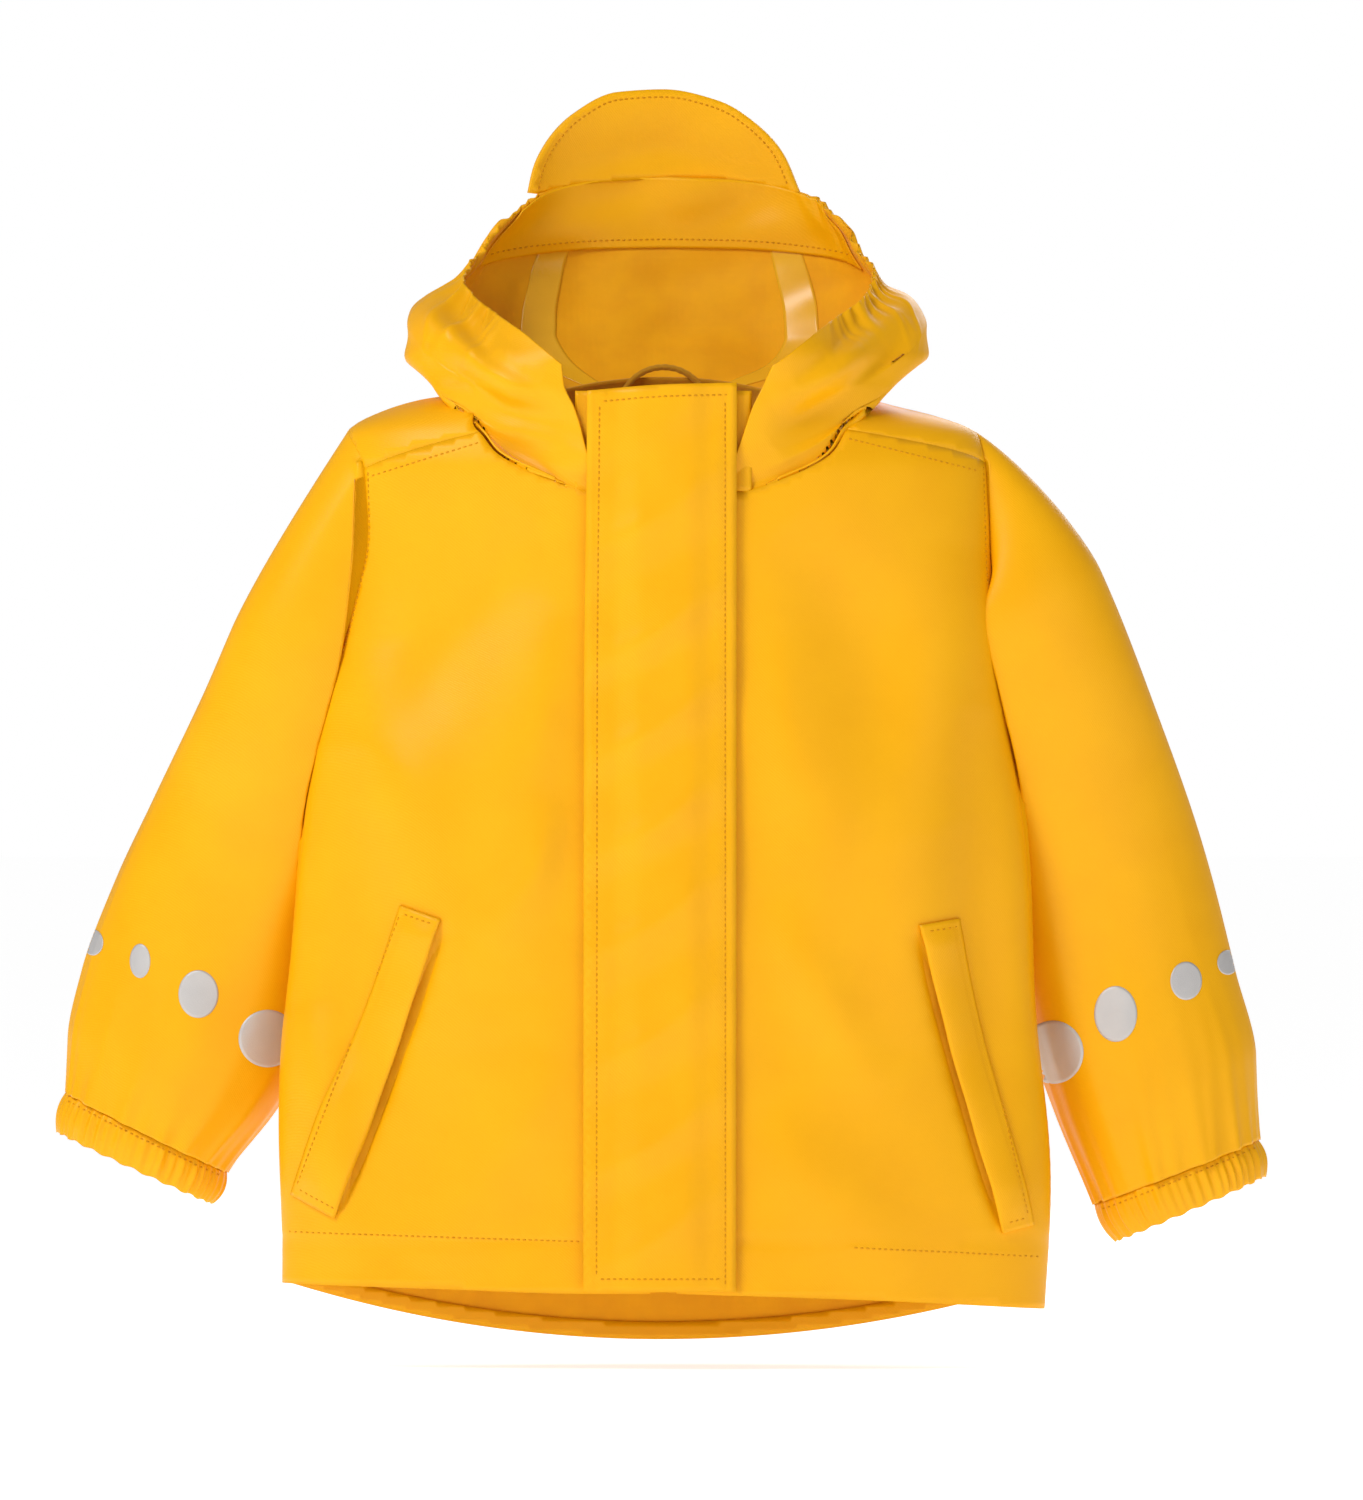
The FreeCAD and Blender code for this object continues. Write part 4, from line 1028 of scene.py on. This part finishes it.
def rim_gathers(a, t):
    """The elastic in the rim draws both its sides into uneven pleats."""
    degrees = np.degrees(a)
    sides = ease((np.abs(degrees) - 38) / 18) * ease((140 - np.abs(degrees)) / 14)
    r = np.random.default_rng(SEED + 11)
    total = np.zeros(np.shape(a))
    for k in range(84):
        centre = -180 + 360 * (k + r.uniform(-0.3, 0.3)) / 84
        d = (degrees - centre - r.uniform(-20, 20) * (1 - t) + 180) % 360 - 180
        reach = r.uniform(0.10, 0.34)
        total += r.uniform(1.0, 4.0) * bell(d, r.uniform(1.1, 2.3)) * bell(1 - t, reach)
    return (total - 1.2) * sides


def hood_folds(a, t):
    p = hood(a, t)
    x, z = p[:, 0], p[:, 2]
    front = np.cos(a) > -0.2
    lines = [
        ([(-120, 30), (-104, 12), (-80, -6), (-48, -14)], 7, -4.5),
        ([(-128, 48), (-100, 26), (-70, 8), (-44, 2)], 8, 4.0),
        ([(-104, 44), (-86, 20), (-60, 6)], 5, -3.0),
        ([(-118, 2), (-96, -6), (-70, -20)], 7, 3.0),
        ([(126, 40), (106, 16), (80, -4), (52, -24)], 8, -4.5),
        ([(130, 58), (110, 34), (84, 14), (50, 0)], 8, 4.0),
        ([(100, 42), (84, 22), (64, 8)], 5, -2.6),
        ([(112, 0), (92, -12), (66, -32)], 7, 3.0),
        ([(-96, 70), (-112, 50), (-118, 28)], 6, 3.0),
        ([(104, 82), (118, 62), (124, 42)], 6, 3.0),
    ]
    total = np.where(front, sum(crease(x, z, line, width, height) for line, width, height in lines), 0)
    loose = ripple(x, z * 1.4, SEED + 21, 46, 1.5) + ripple(x, z, SEED + 22, 90, 2.0)
    roll = 2.5 * bell(t - 0.22, 0.16) * front
    return (total + loose + roll) * ease(t / 0.16) + rim_gathers(a, t)


def hood_grid(from_a, to_a, columns, rows, low=0.0, high=1.0, inset=0.0):
    a, t = np.meshgrid(np.linspace(from_a, to_a, columns), np.linspace(low, high, rows))
    a, t = a.ravel(), t.ravel()

    def place(b, u):
        return hood(b, u)

    small = 0.004
    out = np.cross(
        place(a + small, t) - place(a - small, t),
        place(a, np.clip(t + small, 0, 1)) - place(a, np.clip(t - small, 0, 1))
    )
    out /= np.maximum(np.linalg.norm(out, axis=1), 1e-9)[:, None]
    middle = hood_level(place(a, t)[:, 2])[2]
    away = place(a, t) - np.stack([np.zeros(len(a)), middle, place(a, t)[:, 2]], axis=1)
    out *= np.sign((out * away).sum(axis=1))[:, None]
    return place(a, t) + out * (hood_folds(a, t) - inset)[:, None], out


def edge_turn(side):
    """The turn at which the hood's front edge meets the flap."""
    return SIDE[side] * math.asin(HOOD_EDGE[side] / 100)


def hood_piece(
    name, from_a, to_a, columns, rows, nodes, low=0.0, high=1.0, inset=0.0, material=coated, thick=CLOTH,
    lined=True, **sheet
):
    points, out = hood_grid(from_a, to_a, columns, rows, low, high, inset)
    faces = grid_faces(rows, columns)
    made = piece(name, points, facing_out(points, faces, out), material, lining)
    thicken(made, thick, lined=lined)
    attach(made, "hood")
    if nodes:
        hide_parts(*nodes)
    return made


SEAM_TURN = math.radians(180 - 27)
hood_piece(
    "hood_cloth_right", edge_turn("right"), -SEAM_TURN, 300, HOOD_ROWS,
    ["hood_side_right", "rim_elastic_right"],
    flat=(0.24, 0.1), held="gathered",
)
hood_piece(
    "hood_cloth_left", edge_turn("left"), SEAM_TURN, 300, HOOD_ROWS, ["hood_side_left", "rim_elastic_left"],
    flat=(0.24, 0.1), held="gathered",
)
hood_piece(
    "hood_centre", SEAM_TURN, 2 * math.pi - SEAM_TURN, 70, HOOD_ROWS, ["hood_centre_panel"],
    flat=(0.09, 0.12), held="stretched"
)
facing = hood_piece(
    "hood_rim_facing", math.radians(122), math.radians(238), 120, 26, ["hood_facing"], low=0.66, high=0.998,
    inset=CLOTH + 0.5, thick=0.8, lined=False, flat=(0.19, 0.04), held="stretched",
)
tape_points, tape_faces = [], []
for start, end in (
    (SEAM_TURN - 0.15, SEAM_TURN + 0.012), (2 * math.pi - SEAM_TURN - 0.012, 2 * math.pi - SEAM_TURN + 0.15)
):
    points, _ = hood_grid(start, end, 12, 50, 0.05, 0.7, CLOTH + 0.25)
    tape_faces += [tuple(i + len(tape_points) for i in f) for f in grid_faces(50, 12)]
    tape_points += list(points)
tapes = piece("hood_tapes", tape_points, tape_faces, seam_tape)
thicken(tapes, 0.2, offset=0)
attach(tapes, "hood")
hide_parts("hood_seam_tapes")

# --------------------------------------------------------------------- visor
VISOR_EDGE = [
    (-68, 107), (-65, 120), (-58, 134), (-46, 147), (-24, 158.5), (0, 160), (28, 154), (48, 141), (60, 127),
    (68.5, 107)
]
rim_turn = np.radians(np.linspace(118, 242, 125))
rim_points = hood(rim_turn, np.ones(125))[::-1]


def visor_point(x, z):
    y_rim = np.interp(x, rim_points[:, 0], rim_points[:, 1])
    z_rim = np.interp(x, rim_points[:, 0], rim_points[:, 2])
    t = np.clip((z - z_rim) / 50, 0, 1)
    y = y_rim - 0.6 - 4 * ease(t)
    y = y + ripple(x, z, SEED + 31, 60, 0.8) * t + crease(x, z, [(-50, 120), (0, 130), (50, 118)], 9, 1.6)
    return np.stack([x, y, z], axis=-1)


kept = (rim_points[:, 0] > -68) & (rim_points[:, 0] < 68.5)
rim_line = [(p[0], p[2] - 1.5) for p in rim_points[kept][::-8]]
visor_border = joined(curve(VISOR_EDGE, 3.0), curve(rim_line, 3.0))
flat, faces = cut_cloth(visor_border, 3.2)
points = visor_point(flat[:, 0], flat[:, 1])
ahead = np.tile([0.0, -1.0, 0.0], (len(points), 1))
visor = piece("visor_cloth", points, facing_out(points, faces, ahead), coated, lining)
thicken(visor, 1.8)
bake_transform(visor)
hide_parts("visor")
visor_tree = tree_of(visor)

# ---------------------------------------------------------------- storm flap
flap_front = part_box("storm_flap")[0].y / MM
FLAP_EDGE = [(-40, -445), (-39.6, -150), (-38.2, -25), (-38, 4)]


def flap_folds(x, z):
    total = ripple(x * 1.2, z * 0.5, SEED + 41, 60, 0.5)
    for low in (-60, -118, -165, -214, -262, -318, -372, -420):
        total = total + crease(x, z, [(-40, low - 18), (-5, low), (34, low + 30)], 7, 1.5)
        total = total - crease(x, z, [(-40, low + 12), (0, low + 34), (36, low + 58)], 9, 1.1)
    return total * ease((x + 44) / 6) * 1.25


def flap_point(x, z):
    near = np.abs(x)
    drop = 3.4 * ease((near - 11) / 15) + 1.2 * ease((x - 27) / 8)
    pull = bell(x, 9) * bell(z + 32, 26)
    y = flap_front + 0.3 + drop - flap_folds(x, z) * (1 - 0.8 * pull) - 0.5 * pull
    y = y + 0.5 * bell(x - 31, 0.9) + 0.35 * bell(x + 33.5, 0.9)
    return np.stack([x, y, z], axis=-1)


flap_border = joined(
    curve(FLAP_EDGE, 3.0),
    curve([(-38, 4), (0, 7), (36.5, 8)], 3.0),
    curve([(36.5, 8), (36.2, -445)], 3.0, False),
    curve([(36.2, -445), (-40, -445)], 3.0, False),
)
seams = [curve([(x, 2), (x, -443)], 2.6, False) for x in (-35, -33.5, -32, 29.6, 31, 32.4)]
flat, faces = cut_cloth(flap_border, 3.4, seams)
points = flap_point(flat[:, 0], flat[:, 1])
flap = piece(
    "flap_cloth", points, facing_out(points, faces, np.tile([0.0, -1.0, 0.0], (len(points), 1))), coated,
    lining
)
thicken(flap, 1.6)
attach(flap, "storm_flap")
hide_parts("storm_flap", "flap_facing")
flap_tree = tree_of(flap)

# ------------------------------------------------------------- pocket welts
front_trees = {side: tree_of(front) for side, front in fronts.items()}
welt_trees = {}
for side, sign in SIDE.items():
    a, b, c, d = (np.array(p) for p in WELT[side])
    rows, columns = 80, 14
    u, v = np.meshgrid(np.linspace(0, 1, columns), np.linspace(0, 1, rows))
    u, v = u.ravel(), v.ravel()
    # u runs from the sewn outer edge to the free edge by the slit, v down the welt
    top_out, top_in = (a, b) if side == "right" else (b, a)
    low_out, low_in = (d, c) if side == "right" else (c, d)
    spot = (
        top_out * ((1 - u) * (1 - v))[:, None] + top_in * (u * (1 - v))[:, None]
        + low_out * ((1 - u) * v)[:, None] + low_in * (u * v)[:, None]
    )
    p = torso_cloth(*on_torso(spot[:, 0], spot[:, 1]).T)
    out = normals_of(torso, *on_torso(spot[:, 0], spot[:, 1]).T)
    ends = ease(np.minimum(v, 1 - v) / 0.08)
    puff = 0.9 + 1.6 * np.sin(np.pi * np.clip(u, 0, 1)) ** 0.6 * ends + 1.1 * ease(u) * ends
    puff = puff - 0.5 * bell(u - 0.14, 0.05) + 0.5 * np.sin(v * 23 + 1) * u * ends
    p = p + out * puff[:, None]
    faces = grid_faces(rows, columns)
    welt = piece(f"welt_{side}", p, facing_out(p, faces, out), coated, lining)
    thicken(welt, 1.6, offset=0)
    outer, inner = (top_out + low_out) / 2, (top_in + low_in) / 2
    sewn, free = outer * MM, (outer + (inner - outer) * 0.55) * MM
    start, end = (sewn[0], -0.09, sewn[1]), (free[0], -0.09, free[1])
    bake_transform(welt)
    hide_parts(f"pocket_welt_{side}")
    welt_trees[side] = tree_of(welt)

    # the pocket bag, hanging behind the slit
    low, high = (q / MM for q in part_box(f"pocket_bag_{side}"))
    u, v = np.meshgrid(np.linspace(0, 1, 26), np.linspace(0, 1, 34))
    u, v = u.ravel(), v.ravel()
    x, z = low.x + (high.x - low.x) * u, low.z + (high.z - low.z) * v
    base = torso_cloth(*on_torso(x, z).T)
    out = normals_of(torso, *on_torso(x, z).T)
    edge = np.minimum(np.minimum(u, 1 - u), np.minimum(v, 1 - v))
    deep = 2.4 + 8.6 * ease(edge / 0.16) * (0.75 + 0.25 * (1 - v))
    near = base - out * 2.2
    far = base - out * deep[:, None]
    layers = np.concatenate([near, far])
    faces = grid_faces(34, 26)
    near_faces = facing_out(near, faces, out)
    far_faces = [tuple(i + len(near) for i in reversed(face)) for face in near_faces]
    bag = piece(f"pocket_bag_cloth_{side}", layers, near_faces + far_faces, lining)
    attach(bag, "jacket")
    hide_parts(f"pocket_bag_{side}")

# ------------------------------------------------- closure under the flap
def strip(
    name, x_low, x_high, z_low, z_high, y_of, materials, thick, body, nodes, rows=60, columns=10,
):
    x, z = np.meshgrid(np.linspace(x_low, x_high, columns), np.linspace(z_low, z_high, rows))
    x, z = x.ravel(), z.ravel()
    p = np.stack([x, y_of(x, z), z], axis=1)
    faces = grid_faces(rows, columns)
    made = piece(name, p, facing_out(p, faces, np.tile([0.0, -1.0, 0.0], (len(p), 1))), *materials)
    thicken(made, thick)
    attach(made, body)
    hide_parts(*nodes)
    return made


for side in SIDE:
    low, high = (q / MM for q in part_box(f"zip_tape_{side}"))
    strip(
        f"zip_tape_cloth_{side}", low.x, high.x, low.z, high.z, lambda x, z, y=low.y: np.full(len(x), y),
        (tape_weave,), high.y - low.y if high.y - low.y < 2 else 0.6, "jacket", [f"zip_tape_{side}"],
    )
    low, high = (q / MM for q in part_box(f"chin_guard_{side}"))

    def collar_y(x, z):
        return -45 - 54.2 * np.sqrt(np.clip(1 - (x / 164) ** 2, 0, 1)) - 0.35 * np.sin(x * 0.5)

    strip(
        f"collar_{side}", low.x, high.x, low.z, high.z, collar_y, (coated, lining), 1.0, "jacket",
        [f"chin_guard_{side}"],
        rows=20, columns=24,
    )
low, high = (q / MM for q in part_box("zip_guard"))
strip(
    "zip_guard_cloth", low.x, high.x, low.z, high.z,
    lambda x, z, y=low.y: y + 0.15 + 0.25 * (1 + np.sin(z * 0.05)), (coated, lining), 0.7, "jacket",
    ["zip_guard"],
)

# ------------------------------------------------------ neck tape and loop
angle = np.linspace(math.radians(95), math.radians(265), 80)
tilt = math.radians(27)
rings = []
for k in np.linspace(0, 1, 8):
    reach = -6 + 12 * k
    x = 76 * np.sin(angle)
    flat_y = -58 * np.cos(angle)
    y = -47.5 + flat_y * math.cos(tilt) - reach * math.sin(tilt)
    z = -22 + flat_y * math.sin(tilt) + reach * math.cos(tilt) + 3
    rings.append(np.stack([x, y + 0.6 * math.sin(math.pi * k), z], axis=1))
points = np.concatenate(rings)
middle = np.array([0, -47.5, -20])
neck_tape = piece(
    "neck_tape_cloth", points, facing_out(points, grid_faces(8, 80), middle - points), tape_weave
)
thicken(neck_tape, 0.8)
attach(neck_tape, "jacket")
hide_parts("neck_tape")

loop_low, loop_high = (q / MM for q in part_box("hang_loop"))
loop_half, loop_top = (loop_high.x - loop_low.x) / 2 - 1.8, loop_high.z - 1.8
radius = (loop_half**2 + loop_top**2) / (2 * loop_top)
sweep = math.asin(loop_half / radius)
LOOP_RINGS, LOOP_ROUND = 90, 24
points = []
for k in range(LOOP_RINGS):
    t = -sweep + 2 * sweep * k / (LOOP_RINGS - 1)
    middle = np.array([radius * math.sin(t), 0, loop_top - radius + radius * math.cos(t)])
    away = np.array([math.sin(t), 0, math.cos(t)])
    for m in range(LOOP_ROUND):
        g = 2 * math.pi * m / LOOP_ROUND
        plait = 1.55 + 0.22 * math.sin(3 * g + 0.55 * k) * math.sin(3 * g - 0.55 * k)
        points.append(middle + away * plait * math.cos(g) + np.array([0, 1, 0]) * plait * math.sin(g))
faces = grid_faces(LOOP_RINGS, LOOP_ROUND, closed=True)
faces += [tuple(range(LOOP_ROUND)), tuple(reversed(range(len(points) - LOOP_ROUND, len(points))))]
loop = piece("hang_loop_cord", points, faces, cord_weave)
bpy.ops.object.select_all(action="DESELECT")
loop.select_set(True)
bpy.context.view_layer.objects.active = loop
bpy.ops.object.mode_set(mode="EDIT")
bpy.ops.mesh.select_all(action="SELECT")
bpy.ops.mesh.normals_make_consistent(inside=False)
bpy.ops.object.mode_set(mode="OBJECT")
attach(loop, "jacket")
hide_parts("hang_loop")

# ------------------------------------------------------- sleeves, last steps
for side, sign in SIDE.items():
    made = sleeves[side][0]
    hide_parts(f"sleeve_{side}")
    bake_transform(made)

# ------------------------------------------------------------------ stitching
body_thread = Thread()
for side, sign in SIDE.items():
    tree = front_trees[side]
    stitch_line(body_thread, tree, [(sign * x, z + 26) for x, z in HEM[side] if abs(x) > 10][0:3])
    arm = [torso(*turned([sign * (a - 2.2)], [z]).T)[0] for a, z in ARMHOLE[side][1:]]
    stitch_line(body_thread, tree, [(p[0], p[2]) for p in arm])
    seam = [torso(*turned([sign * a], [z]).T)[0] for a, z in SHOULDER_SEAM[side]]
    stitch_line(body_thread, tree, [(p[0] * 0.985, p[2] - 4.6) for p in seam], bend=False)
back_tree = tree_of(back)
low_line = [(x, back_hem(x) + 5.2) for x in np.linspace(-178, 178, 13)]
stitch_line(body_thread, back_tree, low_line, start=-50)
stitch_line(body_thread, back_tree, low_line, ahead=False)
body_thread.finish("stitches_body", thread_yellow, "jacket")

flap_thread = Thread()
stitch_line(flap_thread, flap_tree, [(-33.4, -438), (-33, -150), (-31.8, -2)])
stitch_line(flap_thread, flap_tree, [(-32, -1.5), (0, 1), (34, 2)])
stitch_line(flap_thread, flap_tree, [(-33.4, -438.5), (30, -438.5)], bend=False)
stitch_line(flap_thread, flap_tree, [(30.6, 0), (30.8, -443)], bend=False)
flap_thread.finish("stitches_flap", thread_yellow, "storm_flap")

for side, sign in SIDE.items():
    welt_thread = Thread()
    a, b, c, d = (np.array(p) for p in WELT[side])
    middle = (a + b + c + d) / 4
    corners = [p + (middle - p) / np.linalg.norm(middle - p) * 4.0 for p in (a, b, c, d)]
    for p, q in ((0, 1), (1, 2), (2, 3), (3, 0)):
        if side == "left" and (p, q) == (3, 0) or side == "right" and (p, q) == (1, 2):
            continue
        stitch_line(welt_thread, welt_trees[side], [corners[p], corners[q]], bend=False)
    welt_thread.finish(f"stitches_welt_{side}", thread_yellow, f"pocket_welt_{side}")

visor_thread = Thread()
inner = [(x * 0.94, 107 + (z - 107) * 0.925) for x, z in VISOR_EDGE]
stitch_line(visor_thread, visor_tree, inner)
visor_thread.finish("stitches_visor", thread_yellow, "visor")

hood_thread = Thread()
facing_tree = tree_of(facing)
rim = hood(np.radians(np.linspace(126, 234, 30)), np.full(30, 0.70))
stitch_line(hood_thread, facing_tree, [(p[0], p[2]) for p in rim], start=-40)
if hood_thread.points:
    hood_thread.finish("stitches_hood", thread_yellow, "hood")

for side in SIDE:
    cuff_thread = Thread()
    top, low = np.array(SLEEVE[side][-1]), np.array(CUFF[side])
    at = top + (low - top) * 0.16
    tree = tree_of(cuffs[side])
    for ahead in (True, False):
        stitch_line(cuff_thread, tree, [(at[0], at[1]), (at[2], at[3])], ahead=ahead, bend=False)
    cuff_thread.finish(f"stitches_cuff_{side}", thread_yellow, f"sleeve_{side}")

# --------------------------------------------------- finishes of the CAD nodes
KEPT = {
    "zip_teeth_left": zip_plastic,
    "zip_teeth_right": zip_plastic,
    "zip_stops": zip_plastic,
    "zip_box": zip_plastic,
    "zip_slider": zip_metal,
    "zip_pull": zip_metal,
    "stud_sockets": stud_metal,
    "press_studs": stud_metal,
}
for name, material in KEPT.items():
    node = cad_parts[name]
    node.data.materials.clear()
    node.data.materials.append(material)

# --------------------------------------------------------- room and lighting
FLOOR_SIDES = 96
FLOOR_REACH = (1.5, 40)
PAPER_GLOW = 0.72
floor_z = cad_low.z - 0.012
turns = np.linspace(0, 2 * math.pi, FLOOR_SIDES + 1)[:-1]
points = [(0, 0, floor_z)]
for reach in FLOOR_REACH:
    points += [(reach * math.cos(t), reach * math.sin(t), floor_z) for t in turns]
faces = []
for k in range(FLOOR_SIDES):
    here, ahead = 1 + k, 1 + (k + 1) % FLOOR_SIDES
    faces.append((0, here, ahead))
for k in range(FLOOR_SIDES):
    here, ahead = 1 + k, 1 + (k + 1) % FLOOR_SIDES
    faces.append((here, here + FLOOR_SIDES, ahead + FLOOR_SIDES, ahead))
ground = bpy.data.meshes.new("floor")
ground.from_pydata(points, [], faces)
backdrop = bpy.data.objects.new("floor", ground)
bpy.context.scene.collection.objects.link(backdrop)
paper = bpy.data.materials.new("pale_paper")
paper.use_nodes = True
paper_shader = paper.node_tree.nodes["Principled BSDF"]
paper_shader.inputs["Base Color"].default_value = (0.93, 0.93, 0.93, 1)
paper_shader.inputs["Roughness"].default_value = 0.9
paper_shader.inputs["Emission Color"].default_value = (1, 1, 1, 1)
paper_shader.inputs["Emission Strength"].default_value = PAPER_GLOW
backdrop.data.materials.append(paper)

world = bpy.data.worlds.new("room")
bpy.context.scene.world = world
world.use_nodes = True
world.node_tree.nodes["Background"].inputs["Color"].default_value = (1, 1, 1, 1)
# The room is plain white to look at and a dimmer white to light with.
ROOM_LIGHT = 0.29
seen_directly = world.node_tree.nodes.new("ShaderNodeLightPath").outputs["Is Camera Ray"]
seen_extra = maths(world.node_tree, "MULTIPLY", seen_directly, 1 - ROOM_LIGHT)
strength = maths(world.node_tree, "ADD", seen_extra, ROOM_LIGHT)
world.node_tree.links.new(strength, world.node_tree.nodes["Background"].inputs["Strength"])


def lamp(name, place, aim, size, power):
    light = bpy.data.lights.new(name, "AREA")
    light.shape = "RECTANGLE"
    light.size, light.size_y = size
    light.energy = power
    made = bpy.data.objects.new(name, light)
    made.location = place
    made.rotation_euler = (Vector(aim) - Vector(place)).to_track_quat("-Z", "Y").to_euler()
    bpy.context.scene.collection.objects.link(made)


lamp("key", (-1.5, -1.7, 1.6), (0, 0, -0.2), (0.9, 0.9), 42)
lamp("fill", (1.6, -2.4, 0.2), (0, 0, -0.2), (1.6, 1.6), 5)
lamp("back", (0.9, 2.3, 1.3), (0, 0, -0.2), (1.6, 1.6), 26)

# ----------------------------------------------------------------- camera
SENSOR, LENS = 36, 400
camera_data = bpy.data.cameras.new("camera")
camera_data.sensor_width = SENSOR
camera_data.clip_end = 100
camera_data.lens = LENS
camera = bpy.data.objects.new("camera", camera_data)
bpy.context.scene.collection.objects.link(camera)
view_height = 0.750
view_distance = view_height / 2 / math.tan(math.atan(SENSOR / 2 / LENS))
camera.location = (0.009, -0.07 - view_distance, -0.175)
camera.rotation_euler = (math.pi / 2, 0, 0)
bpy.context.scene.camera = camera
bpy.context.scene.view_settings.view_transform = "Standard"
